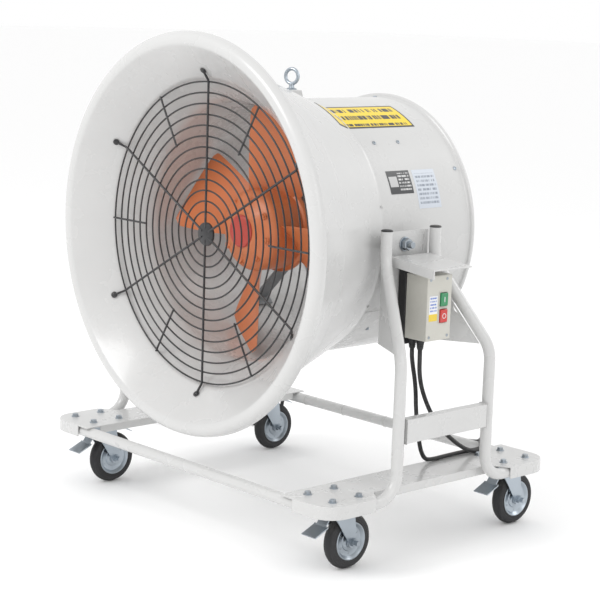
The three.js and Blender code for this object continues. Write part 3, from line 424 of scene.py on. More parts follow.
@dataclass(frozen=True)
class Finish:
    """A paint, plating, plastic or rubber.

    Args:
        name: the material's name.
        sheet: the record's slot that it belongs to; not used.
        color: linear base colour.
        roughness: middle roughness.
        metallic: 1 for bare metal.
        coat: weight of a clear gloss coat.
        grain: grains per metre.
        depth: bump strength of the grain.
        stretch: draws the grain out where below 1.
        mottle: share of slow shading.
        wear: share of rubbed edge.
        worn: colour under the finish.
        dust: share of settled dust.
    """

    name: str
    sheet: Sheet
    color: Triple
    roughness: float
    metallic: float = 0.0
    coat: float = 0.0
    grain: float = 500.0
    depth: float = 0.04
    stretch: Triple = (1.0, 1.0, 1.0)
    mottle: float = 0.04
    wear: float = 0.2
    worn: Triple = (0.35, 0.35, 0.36)
    dust: float = 0.1

    def base(self, tree: bpy.types.NodeTree, vector: bpy.types.NodeSocket) -> bpy.types.NodeSocket:
        """The colour before dust and wear."""
        node = ShaderTools.place(tree, ShaderTools.mottle(), Vector=vector, Color=(*self.color, 1),
                                 Amount=self.mottle)
        return node.outputs["Color"]

    def vector(self, tree: bpy.types.NodeTree) -> bpy.types.NodeSocket:
        """Object coordinates."""
        return tree.nodes.new("ShaderNodeTexCoord").outputs["Object"]

    def material(self) -> bpy.types.Material:
        """The finish as a material, built the first time it is asked for."""
        known = bpy.data.materials.get(self.name)
        if known:
            return known
        made = bpy.data.materials.new(self.name)
        made.use_nodes = True
        tree = made.node_tree
        shader = tree.nodes["Principled BSDF"]
        vector = self.vector(tree)
        rubbed = ShaderTools.place(tree, ShaderTools.wear(), Vector=vector, Color=self.base(tree, vector),
                                   Worn=(*self.worn, 1), Amount=self.wear)
        dusty = ShaderTools.place(tree, ShaderTools.dust(), Vector=vector, Color=rubbed.outputs["Color"],
                                  Amount=self.dust)
        tree.links.new(dusty.outputs["Color"], shader.inputs["Base Color"])
        matt = ShaderTools.math(tree, "ADD", ShaderTools.math(tree, "MULTIPLY", dusty.outputs["Mask"], 0.5),
                                ShaderTools.math(tree, "MULTIPLY_ADD", rubbed.outputs["Mask"], 0.15,
                                                 self.roughness), clamp=True)
        smear = ShaderTools.noise(tree, vector, 9.0, 4.0)
        uneven = ShaderTools.math(tree, "MULTIPLY_ADD", smear, 0.14, -0.07)
        tree.links.new(ShaderTools.math(tree, "ADD", matt, uneven, clamp=True), shader.inputs["Roughness"])
        shader.inputs["Metallic"].default_value = self.metallic
        shader.inputs["Coat Weight"].default_value = self.coat
        shader.inputs["Coat Roughness"].default_value = 0.12
        grain = ShaderTools.place(tree, ShaderTools.grain(), Vector=vector, Scale=self.grain,
                                  Stretch=self.stretch)
        bump = tree.nodes.new("ShaderNodeBump")
        bump.inputs["Strength"].default_value = self.depth
        bump.inputs["Distance"].default_value = 0.001
        tree.links.new(grain.outputs["Height"], bump.inputs["Height"])
        tree.links.new(bump.outputs["Normal"], shader.inputs["Normal"])
        return made


@dataclass(frozen=True)
class PrintedLabel(Finish):
    """A printed label over its own map.

    Args:
        ink: colour of the rows and the border.
        border: width of the border as a share of the label, across and up.
        rows: number of printed rows.
        start: corner where the rows begin, as shares of the label.
        end: corner where they stop.
        panel: a second coloured panel: low corner, high corner.
        panel_color: the panel's colour.
    """

    ink: Triple = (0.02, 0.02, 0.02)
    border: Pair = (0.0, 0.0)
    rows: float = 6.0
    start: Pair = (0.08, 0.1)
    end: Pair = (0.92, 0.9)
    panel: Optional[tuple[Pair, Pair]] = None
    panel_color: Triple = (0.02, 0.02, 0.02)

    def base(self, tree: bpy.types.NodeTree, vector: bpy.types.NodeSocket) -> bpy.types.NodeSocket:
        """The printed colours."""
        color: object = (*self.color, 1)
        at = tree.nodes.new("ShaderNodeSeparateXYZ")
        tree.links.new(vector, at.inputs[0])
        if self.panel:
            color = ShaderTools.mix(tree, self.inside(tree, at, *self.panel), color, (*self.panel_color, 1))
        printed = ShaderTools.place(tree, ShaderTools.rows(), Vector=vector, Rows=self.rows,
                                    Start=(*self.start, 0), End=(*self.end, 0))
        color = ShaderTools.mix(tree, printed.outputs["Mask"], color, (*self.ink, 1))
        across, up = self.border
        framed = ShaderTools.math(tree, "SUBTRACT", 1.0,
                                  self.inside(tree, at, (across, up), (1 - across, 1 - up)))
        return ShaderTools.mix(tree, framed, color, (*self.ink, 1))

    @staticmethod
    def inside(tree: bpy.types.NodeTree, at: bpy.types.Node, low: Pair, high: Pair) -> bpy.types.NodeSocket:
        """1 inside a rectangle of the label's map."""
        mask: object = 1.0
        for axis, a, b in (("X", low[0], high[0]), ("Y", low[1], high[1])):
            mask = ShaderTools.math(tree, "MULTIPLY", mask,
                                    ShaderTools.math(tree, "GREATER_THAN", at.outputs[axis], a))
            mask = ShaderTools.math(tree, "MULTIPLY", mask,
                                    ShaderTools.math(tree, "LESS_THAN", at.outputs[axis], b))
        return mask

    def vector(self, tree: bpy.types.NodeTree) -> bpy.types.NodeSocket:
        """The label's own map."""
        node = tree.nodes.new("ShaderNodeUVMap")
        node.uv_map = "label"
        return node.outputs["UV"]


POWDER_COAT = Finish("white_powder_coat", Sheet.WHITE, (0.59, 0.59, 0.585), 0.27, coat=0.35, grain=420,
                     depth=0.05, mottle=0.03, wear=0.25, worn=(0.5, 0.5, 0.5), dust=0.05)
INNER_COAT = replace(POWDER_COAT, name="bell_powder_coat", dust=0.03)
WIRE_COAT = Finish("black_wire_coat", Sheet.WIRE, (0.012, 0.012, 0.014), 0.35, coat=0.2, grain=900, dust=0.12,
                   worn=(0.2, 0.2, 0.2))
BLADE_PAINT = Finish("blade_orange_paint", Sheet.ORANGE, (0.68, 0.2, 0.07), 0.4, coat=0.15, grain=300,
                     depth=0.1, mottle=0.12, worn=(0.5, 0.28, 0.18), dust=0.08)
CAP_PAINT = Finish("cap_red_paint", Sheet.RED, (0.55, 0.06, 0.04), 0.35, coat=0.2, grain=300)
MOTOR_PAINT = Finish("motor_grey_enamel", Sheet.GREY, (0.23, 0.245, 0.26), 0.42, coat=0.1, grain=260,
                     depth=0.15, mottle=0.15, wear=0.5, dust=0.3)
ZINC = Finish("bright_zinc", Sheet.ZINC, (0.44, 0.49, 0.54), 0.3, metallic=1.0, grain=160, depth=0.06,
              stretch=(1.0, 0.25, 1.0), mottle=0.25, worn=(0.35, 0.34, 0.32), wear=0.4, dust=0.12)
DARK_STEEL = replace(ZINC, name="dark_axle_steel", color=(0.3, 0.31, 0.33), roughness=0.4)
MOULDED_BLACK = Finish("moulded_black", Sheet.BLACK, (0.017, 0.017, 0.019), 0.5, grain=1400, depth=0.25,
                       worn=(0.1, 0.1, 0.1), dust=0.25)
MOULDED_CASE = Finish("moulded_pale_case", Sheet.CASE, (0.56, 0.55, 0.5), 0.45, grain=1600, depth=0.2,
                      mottle=0.05, worn=(0.65, 0.64, 0.6), dust=0.12)
GREEN_KEY = Finish("green_key", Sheet.GREEN_KEY, (0.02, 0.24, 0.09), 0.35, coat=0.2, grain=1500)
RED_KEY = Finish("red_key", Sheet.RED_KEY, (0.55, 0.03, 0.025), 0.35, coat=0.2, grain=1500)
TYRE_RUBBER = Finish("tyre_rubber", Sheet.TYRE, (0.022, 0.022, 0.024), 0.7, grain=700, depth=0.35,
                     mottle=0.3, worn=(0.07, 0.07, 0.07), wear=0.6, dust=0.35)
CORD_SHEATH = Finish("cord_sheath", Sheet.CORD, (0.012, 0.012, 0.013), 0.55, grain=1200, depth=0.15, dust=0.15)
WHITE_NYLON = Finish("white_nylon", Sheet.CASE, (0.72, 0.72, 0.7), 0.45, grain=900, depth=0.02)
MARK_WHITE = Finish("key_mark_white", Sheet.CASE, (0.8, 0.8, 0.8), 0.4, grain=900, depth=0.02)
CAUTION_LABEL = PrintedLabel("caution_label", Sheet.WHITE, (0.85, 0.62, 0.01), 0.4, coat=0.3, depth=0.01,
                             wear=0.0, border=(0.018, 0.055), rows=3.0, start=(0.1, 0.08), end=(0.93, 0.9))
NAMEPLATE = PrintedLabel("dark_nameplate", Sheet.WHITE, (0.035, 0.037, 0.04), 0.35, coat=0.3, depth=0.01,
                         wear=0.0, ink=(0.6, 0.6, 0.6), rows=7.0, panel=((0.05, 0.3), (0.4, 0.75)),
                         panel_color=(0.5, 0.5, 0.5), start=(0.45, 0.1), end=(0.95, 0.9))
PALE_LABEL = PrintedLabel("pale_data_label", Sheet.WHITE, (0.56, 0.6, 0.66), 0.4, coat=0.2, depth=0.01,
                          wear=0.0, ink=(0.25, 0.28, 0.33), rows=9.0)
SWITCH_LABEL = PrintedLabel("switch_label", Sheet.CASE, (0.75, 0.76, 0.77), 0.35, coat=0.3, depth=0.01,
                            wear=0.0, ink=(0.03, 0.12, 0.5), rows=8.0, panel=((0.0, 0.0), (1.0, 0.28)),
                            panel_color=(0.75, 0.55, 0.05), start=(0.1, 0.34), end=(0.9, 0.95))


# ---------------------------------------------------------------- pieces
def linked(name: str, mesh: bpy.types.Mesh) -> bpy.types.Object:
    """Links a mesh to the scene as an object at the origin."""
    made = bpy.data.objects.new(name, mesh)
    bpy.context.scene.collection.objects.link(made)
    return made


def mesh_of(name: str, shape: Shape, place: Matrix, smooth: float) -> bpy.types.Mesh:
    """Turns a shape into a mesh in the row frame.

    Args:
        name: the mesh's name.
        shape: what to make.
        place: from the shape's own millimetres to the row frame.
        smooth: edges flatter than this, in degrees, are shaded smooth.

    Returns:
        The mesh, with its doubles merged and its faces pointing out.
    """
    mesh = bpy.data.meshes.new(name)
    mesh.from_pydata([place @ p for p in shape.points], [], shape.faces)
    bm = bmesh.new()
    bm.from_mesh(mesh)
    bmesh.ops.remove_doubles(bm, verts=bm.verts, dist=1e-6)
    bmesh.ops.dissolve_degenerate(bm, edges=bm.edges, dist=1e-7)
    bmesh.ops.recalc_face_normals(bm, faces=bm.faces)
    bm.to_mesh(mesh)
    bm.free()
    mesh.shade_smooth()
    mesh.set_sharp_from_angle(angle=math.radians(smooth))
    return mesh


def settle(made: bpy.types.Object, finish: Finish, body: str, replaces: Sequence[str] = (),
           bevel: float = 0.0) -> bpy.types.Object:
    """Dresses a piece and lets it ride on its body.

    Args:
        made: the piece, in place.
        finish: what it is covered with.
        body: the CAD body that it moves with.
        replaces: CAD nodes that it stands for.
        bevel: width in millimetres of the rounded edges, or 0.

    Returns:
        The same piece.
    """
    if not made.data.materials:
        made.data.materials.append(finish.material())
    if bevel:
        rounding = made.modifiers.new("rounded_edges", "BEVEL")
        rounding.width = bevel * MM
        rounding.segments = 2
        rounding.limit_method = "ANGLE"
        rounding.angle_limit = math.radians(35)
    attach(made, body)
    if replaces:
        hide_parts(*replaces)
    log.info("%s rides on %s", made.name, body)
    return made


def piece(name: str, shape: Shape, place: Matrix, finish: Finish, body: str,
          replaces: Sequence[str] = (), smooth: float = 32.0, bevel: float = 0.0) -> bpy.types.Object:
    """Makes a shape into a dressed piece on a body."""
    made = linked(name, mesh_of(name, shape, place, smooth))
    return settle(made, finish, body, replaces, bevel)


def dressed_copy(node: str, name: str, finish: Finish, body: str, bevel: float = 0.5,
                 smooth: float = 30.0) -> bpy.types.Object:
    """A CAD node's shape with merged faces and rounded edges, standing for the node.

    Args:
        node: the CAD node.
        name: the piece's name.
        finish: what it is covered with.
        body: the CAD body that it moves with.
        bevel: width in millimetres of the rounded edges.
        smooth: edges flatter than this, in degrees, are shaded smooth.

    Returns:
        The piece.
    """
    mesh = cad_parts[node].data.copy()
    mesh.name = name
    mesh.materials.clear()
    bm = bmesh.new()
    bm.from_mesh(mesh)
    bmesh.ops.remove_doubles(bm, verts=bm.verts, dist=2e-6)
    bmesh.ops.dissolve_limit(bm, angle_limit=math.radians(1.0), verts=bm.verts, edges=bm.edges)
    bm.to_mesh(mesh)
    bm.free()
    for label in [a.name for a in mesh.attributes if a.name == "custom_normal"]:
        mesh.attributes.remove(mesh.attributes[label])
    mesh.shade_smooth()
    mesh.set_sharp_from_angle(angle=math.radians(smooth))
    return settle(linked(name, mesh), finish, body, (node,), bevel)


class Repeats:
    """Geometry Nodes trees for what repeats, each built once."""

    made: dict[str, bpy.types.NodeTree] = {}

    @classmethod
    def tree(cls, name: str, inputs: Sequence[tuple[str, str, object]]
             ) -> tuple[bpy.types.NodeTree, bpy.types.Node]:
        """Starts a tree with a geometry in and out and named inputs.

        Args:
            name: the tree's name.
            inputs: name, kind and default of each further input.

        Returns:
            The tree and its input node.
        """
        tree = bpy.data.node_groups.new(name, "GeometryNodeTree")
        tree.interface.new_socket(name="Geometry", in_out="INPUT", socket_type="NodeSocketGeometry")
        for label, kind, default in [*inputs, ("Finish", "Material", None)]:
            socket = tree.interface.new_socket(name=label, in_out="INPUT", socket_type="NodeSocket" + kind)
            if default is not None:
                socket.default_value = default
        tree.interface.new_socket(name="Geometry", in_out="OUTPUT", socket_type="NodeSocketGeometry")
        cls.made[name] = tree
        return tree, tree.nodes.new("NodeGroupInput")

    @staticmethod
    def node(tree: bpy.types.NodeTree, kind: str, **values: object) -> bpy.types.Node:
        """A node with its inputs linked or set by name."""
        made = tree.nodes.new(kind)
        for label, value in values.items():
            ShaderTools.feed(tree, value, made.inputs[label.replace("_", " ")])
        return made

    @classmethod
    def close(cls, tree: bpy.types.NodeTree, given: bpy.types.Node, geometry: bpy.types.NodeSocket) -> None:
        """Ends a tree in Realize Instances and Set Material."""
        real = cls.node(tree, "GeometryNodeRealizeInstances", Geometry=geometry)
        dressed = cls.node(tree, "GeometryNodeSetMaterial", Geometry=real.outputs[0],
                           Material=given.outputs["Finish"])
        out = tree.nodes.new("NodeGroupOutput")
        tree.links.new(dressed.outputs[0], out.inputs[0])

    @classmethod
    def round_axis(cls) -> bpy.types.NodeTree:
        """Copies of a shape set round the Y axis."""
        if "set_round_axis" not in cls.made:
            tree, given = cls.tree("set_round_axis", [("Count", "Int", 6), ("Start", "Float", 0.0),
                                   ("Step", "Float", 60.0)])
            seats = cls.node(tree, "GeometryNodeMeshLine", Count=given.outputs["Count"], Offset=(0, 0, 0))
            index = tree.nodes.new("GeometryNodeInputIndex").outputs[0]
            turned = ShaderTools.math(tree, "MULTIPLY_ADD", index, given.outputs["Step"],
                                      given.outputs["Start"])
            turn = cls.node(tree, "ShaderNodeCombineXYZ", Y=ShaderTools.math(tree, "RADIANS", turned))
            copies = cls.node(tree, "GeometryNodeInstanceOnPoints", Points=seats.outputs[0],
                              Instance=given.outputs["Geometry"], Rotation=turn.outputs[0])
            cls.close(tree, given, copies.outputs[0])
        return cls.made["set_round_axis"]

    @classmethod
    def wire_rings(cls) -> bpy.types.NodeTree:
        """Rings of round wire about the Y axis, one inside the next."""
        if "wire_rings" not in cls.made:
            tree, given = cls.tree("wire_rings", [("Count", "Int", 6), ("Outer Radius", "Float", 0.3),
                                   ("Pitch", "Float", 0.025), ("Wire Radius", "Float", 0.002)])
            seats = cls.node(tree, "GeometryNodeMeshLine", Count=given.outputs["Count"], Offset=(0, 0, 0))
            index = tree.nodes.new("GeometryNodeInputIndex").outputs[0]
            inset = ShaderTools.math(tree, "MULTIPLY", index, given.outputs["Pitch"])
            size = ShaderTools.math(tree, "SUBTRACT", given.outputs["Outer Radius"], inset)
            hoop = cls.node(tree, "GeometryNodeCurvePrimitiveCircle", Resolution=120, Radius=1.0)
            lying = cls.node(tree, "GeometryNodeTransform", Geometry=hoop.outputs[0],
                             Rotation=(math.pi / 2, 0, 0))
            grown = cls.node(tree, "ShaderNodeCombineXYZ", X=size, Y=size, Z=size)
            hoops = cls.node(tree, "GeometryNodeInstanceOnPoints", Points=seats.outputs[0],
                             Instance=lying.outputs[0], Scale=grown.outputs[0])
            real = cls.node(tree, "GeometryNodeRealizeInstances", Geometry=hoops.outputs[0])
            section = cls.node(tree, "GeometryNodeCurvePrimitiveCircle", Resolution=10,
                               Radius=given.outputs["Wire Radius"])
            wire = cls.node(tree, "GeometryNodeCurveToMesh", Curve=real.outputs[0],
                            Profile_Curve=section.outputs[0])
            cls.close(tree, given, wire.outputs[0])
        return cls.made["wire_rings"]

    @classmethod
    def seated(cls) -> bpy.types.NodeTree:
        """Copies of a fixing on points, each turned to its point's heading."""
        if "seated_fixings" not in cls.made:
            tree, given = cls.tree("seated_fixings", [("Fixing", "Object", None)])
            fixing = cls.node(tree, "GeometryNodeObjectInfo", Object=given.outputs["Fixing"])
            heading = tree.nodes.new("GeometryNodeInputNamedAttribute")
            heading.data_type = "FLOAT_VECTOR"
            heading.inputs["Name"].default_value = "heading"
            turn = tree.nodes.new("FunctionNodeAlignRotationToVector")
            turn.axis = "Z"
            tree.links.new(heading.outputs["Attribute"], turn.inputs["Vector"])
            copies = cls.node(tree, "GeometryNodeInstanceOnPoints", Points=given.outputs["Geometry"],
                              Instance=fixing.outputs["Geometry"], Rotation=turn.outputs[0])
            cls.close(tree, given, copies.outputs[0])
        return cls.made["seated_fixings"]

    @staticmethod
    def baked(made: bpy.types.Object, tree: bpy.types.NodeTree, finish: Finish, place: Matrix,
              smooth: float = 32.0, **values: object) -> bpy.types.Object:
        """Runs a tree on an object and keeps the result as its plain mesh.

        Args:
            made: the object that the tree works on, in metres about its own axis.
            tree: the tree.
            finish: what the result is covered with.
            place: from the object's own metres to the row frame.
            smooth: edges flatter than this, in degrees, are shaded smooth.
            values: the tree's inputs by name.

        Returns:
            The object with its new mesh and no modifier.
        """
        modifier = made.modifiers.new(tree.name, "NODES")
        modifier.node_group = tree
        wanted = {**values, "Finish": finish.material()}
        for item in tree.interface.items_tree:
            if item.in_out == "INPUT" and item.name.replace(" ", "_") in wanted:
                modifier[item.identifier] = wanted[item.name.replace(" ", "_")]
        made.update_tag()
        bpy.context.view_layer.update()
        evaluated = made.evaluated_get(bpy.context.evaluated_depsgraph_get())
        mesh = bpy.data.meshes.new_from_object(evaluated)
        made.modifiers.remove(modifier)
        mesh.transform(place)
        mesh.shade_smooth()
        mesh.set_sharp_from_angle(angle=math.radians(smooth))
        made.data = mesh
        return made

    @classmethod
    def around(cls, name: str, shape: Shape, finish: Finish, body: str, count: int, start: float = 0.0,
               step: Optional[float] = None, replaces: Sequence[str] = (),
               smooth: float = 32.0) -> bpy.types.Object:
        """A piece of several copies of a shape set round the fan axis.

        Args:
            name: the piece's name.
            shape: the shape of one, in millimetres about the axis.
            finish: what they are covered with.
            body: the CAD body that they move with.
            count: how many there are.
            start: the first one's turn in degrees.
            step: degrees from one to the next, or None to space them evenly.
            replaces: the CAD nodes that they stand for.
            smooth: faces that meet below this angle in degrees are shaded smooth.

        Returns:
            The piece.
        """
        made = linked(name, mesh_of(name, shape, Matrix.Scale(MM, 4), smooth))
        about = Matrix.Translation((0, PIVOT_Y, AXIS_Z))
        cls.baked(made, cls.round_axis(), finish, about, smooth, Count=count, Start=start,
                  Step=360.0 / count if step is None else step)
        return settle(made, finish, body, replaces)

    @classmethod
    def on_points(cls, name: str, fixing: Shape, seats: Sequence[tuple[Vector, Vector]], place: Matrix,
                  finish: Finish, body: str) -> bpy.types.Object:
        """A piece of one fixing on each seat.

        Args:
            name: the piece's name.
            fixing: the shape of one, in millimetres, with its head up +Z.
            seats: the place of each, in millimetres, and its heading.
            place: from the seats' millimetres to the row frame.
            finish: what they are covered with.
            body: the CAD body that they move with.

        Returns:
            The piece.
        """
        single = name + "_one"
        element = linked(single, mesh_of(single, fixing, Matrix.Scale(MM, 4), 30.0))
        mesh = bpy.data.meshes.new(name)
        mesh.from_pydata([place @ at for at, _ in seats], [], [])
        heading = mesh.attributes.new("heading", "FLOAT_VECTOR", "POINT")
        heading.data.foreach_set("vector", [c for _, way in seats for c in way.normalized()])
        made = linked(name, mesh)
        cls.baked(made, cls.seated(), finish, Matrix.Identity(4), Fixing=element)
        bpy.data.objects.remove(element)
        return settle(made, finish, body)


def screw_head(radius: float, height: float) -> Shape:
    """A pan head screw with a cross recess cut as a shallow dish."""
    outline = [(0, height * 0.55), (radius * 0.35, height * 0.6), (radius * 0.42, height),
               (radius * 0.7, height * 0.92),
               (radius * 0.95, height * 0.55), (radius, 0.1), (radius, -0.6), (0, -0.6)]
    return lathe(outline, 12, UPRIGHT)


def hex_bolt(across_flats: float, height: float, washer: float, washer_height: float) -> Shape:
    """A hexagon head with a chamfered top on a round washer."""
    corner = across_flats / math.sqrt(3)
    head = [(0, washer_height + height), (corner * 0.84, washer_height + height),
            (corner, washer_height + height * 0.82), (corner, washer_height * 0.6), (0, washer_height * 0.6)]
    ring = [(0, washer_height), (washer - 0.4, washer_height), (washer, washer_height - 0.4), (washer, -0.3),
            (0, -0.3)]
    return lathe(head, 6, UPRIGHT) + lathe(ring, 20, UPRIGHT)


# ---------------------------------------------------------------- view and light
@dataclass
class Studio:
    """Camera, floor and soft light.

    Args:
        eye: the camera's place in metres.
        heading: the camera's turn, pitch down and roll, in radians.
        lens: focal length for the sensor.
        sensor: width of the sensor in millimetres.
        reach: how far the camera sees, in metres.
        floor_half: half the floor's side in metres.
        paper: the floor's grey.
    """

    eye: Triple = (3.06688, -2.84355, 1.24172)
    heading: Triple = (0.82317, 0.17033, 0.031858)
    lens: float = 102.63
    sensor: float = 36.0
    reach: float = 100.0
    floor_half: float = 60.0
    paper: float = 0.98

    def camera(self) -> None:
        """Sets up the scene's camera."""
        turn, pitch, roll = self.heading
        level = math.cos(pitch)
        forward = Vector((-math.sin(turn) * level, math.cos(turn) * level, -math.sin(pitch)))
        right = forward.cross(Vector((0, 0, 1))).normalized()
        up = right.cross(forward)
        across = right * math.cos(roll) + up * math.sin(roll)
        above = up * math.cos(roll) - right * math.sin(roll)
        made = bpy.data.objects.new("camera", bpy.data.cameras.new("camera"))
        bpy.context.scene.collection.objects.link(made)
        turned = Matrix((across, above, -forward)).transposed().to_4x4()
        made.matrix_world = Matrix.Translation(self.eye) @ turned
        made.data.sensor_width = self.sensor
        made.data.lens = self.lens
        made.data.clip_end = self.reach
        bpy.context.scene.camera = made

    def floor(self) -> None:
        """A plain white floor that runs out of sight."""
        size = self.floor_half
        corners = [(-size, -size, 0), (size, -size, 0), (size, size, 0), (-size, size, 0)]
        mesh = bpy.data.meshes.new("studio_floor")
        mesh.from_pydata(corners, [], [(0, 1, 2, 3)])
        paper = bpy.data.materials.new("studio_paper")
        paper.use_nodes = True
        shader = paper.node_tree.nodes["Principled BSDF"]
        shader.inputs["Base Color"].default_value = (self.paper, self.paper, self.paper, 1)
        shader.inputs["Roughness"].default_value = 0.9
        shader.inputs["Specular IOR Level"].default_value = 0.1
        mesh.materials.append(paper)
        linked("studio_floor", mesh)

    def lamp(self, name: str, at: Triple, aim: Triple, size: float, watts: float) -> None:
        """One soft area light.

        Args:
            name: its name.
            at: its place in metres.
            aim: the point it faces.
            size: its width across in metres.
            watts: its power.
        """
        light = bpy.data.lights.new(name, "AREA")
        light.shape = "DISK"
        light.size = size
        light.energy = watts
        made = bpy.data.objects.new(name, light)
        bpy.context.scene.collection.objects.link(made)
        way = Vector(at) - Vector(aim)
        made.matrix_world = Matrix.Translation(at) @ way.to_track_quat("Z", "Y").to_matrix().to_4x4()

    def light(self) -> None:
        """Even light all round with a large soft key from above the bell."""
        world = bpy.data.worlds.new("studio_air")
        world.use_nodes = True
        sky = world.node_tree.nodes["Background"]
        sky.inputs["Color"].default_value = (1.0, 1.0, 1.0, 1)
        sky.inputs["Strength"].default_value = 1.0
        bpy.context.scene.world = world
        bpy.context.scene.view_settings.view_transform = "Standard"
        self.lamp("key", (-0.6, -3.4, 3.2), (0, 0, 0.7), 1.8, 60)
        self.lamp("fill", (3.6, -0.4, 2.2), (0, 0, 0.6), 2.0, 14)
        self.lamp("back", (1.2, 3.2, 2.8), (0, 0, 0.8), 2.0, 20)

    def build(self) -> None:
        """Camera, floor and lights."""
        self.camera()
        self.floor()
        self.light()


# ---------------------------------------------------------------- cords
SUPPLY_ROUTE: tuple[Triple, ...] = (
    (0.418, -0.024, 0.475), (0.418, -0.023, 0.455), (0.417, -0.017, 0.43), (0.413, -0.006, 0.402),
    (0.407, 0.006, 0.368), (0.401, 0.016, 0.328), (0.395, 0.028, 0.288), (0.388, 0.044, 0.246),
    (0.382, 0.062, 0.208), (0.377, 0.084, 0.1866), (0.375, 0.112, 0.1818), (0.374, 0.15, 0.1818),
    (0.373, 0.195, 0.1818), (0.3734, 0.236, 0.1818), (0.376, 0.264, 0.1818), (0.371, 0.286, 0.1818),
    (0.359, 0.302, 0.1818), (0.343, 0.32, 0.1816), (0.326, 0.338, 0.1804), (0.31, 0.356, 0.1788),
    (0.295, 0.373, 0.1734), (0.278, 0.387, 0.164), (0.256, 0.395, 0.1566), (0.227, 0.392, 0.154),
    (0.195, 0.383, 0.154), (0.16, 0.3756, 0.154), (0.12, 0.3729, 0.154), (0.02, 0.3728, 0.154),
    (-0.09, 0.3728, 0.154), (-0.2, 0.3728, 0.154), (-0.29, 0.3728, 0.154), (-0.33, 0.3736, 0.154),
    (-0.362, 0.377, 0.154), (-0.396, 0.385, 0.1534), (-0.43, 0.394, 0.152), (-0.462, 0.402, 0.147),
    (-0.486, 0.409, 0.132), (-0.502, 0.416, 0.107), (-0.512, 0.423, 0.076), (-0.52, 0.431, 0.046),
    (-0.531, 0.44, 0.021), (-0.55, 0.448, 0.0084), (-0.578, 0.454, 0.0056), (-0.62, 0.4586, 0.0056),
    (-0.67, 0.4596, 0.0056), (-0.724, 0.4589, 0.0056),
)
LEAD_ROUTE: tuple[Triple, ...] = (
    (0.443, -0.024, 0.475), (0.443, -0.0234, 0.452), (0.44, -0.019, 0.424), (0.436, -0.008, 0.392),
    (0.431, 0.012, 0.356), (0.426, 0.042, 0.314), (0.419, 0.082, 0.274), (0.41, 0.128, 0.24),
    (0.4, 0.176, 0.211), (0.391, 0.216, 0.192), (0.3874, 0.246, 0.1834), (0.389, 0.268, 0.1818),
    (0.388, 0.285, 0.1818), (0.378, 0.301, 0.1818), (0.3676, 0.3134, 0.1818), (0.357, 0.3256, 0.1808),
    (0.349, 0.335, 0.1764), (0.344, 0.341, 0.1716),
)


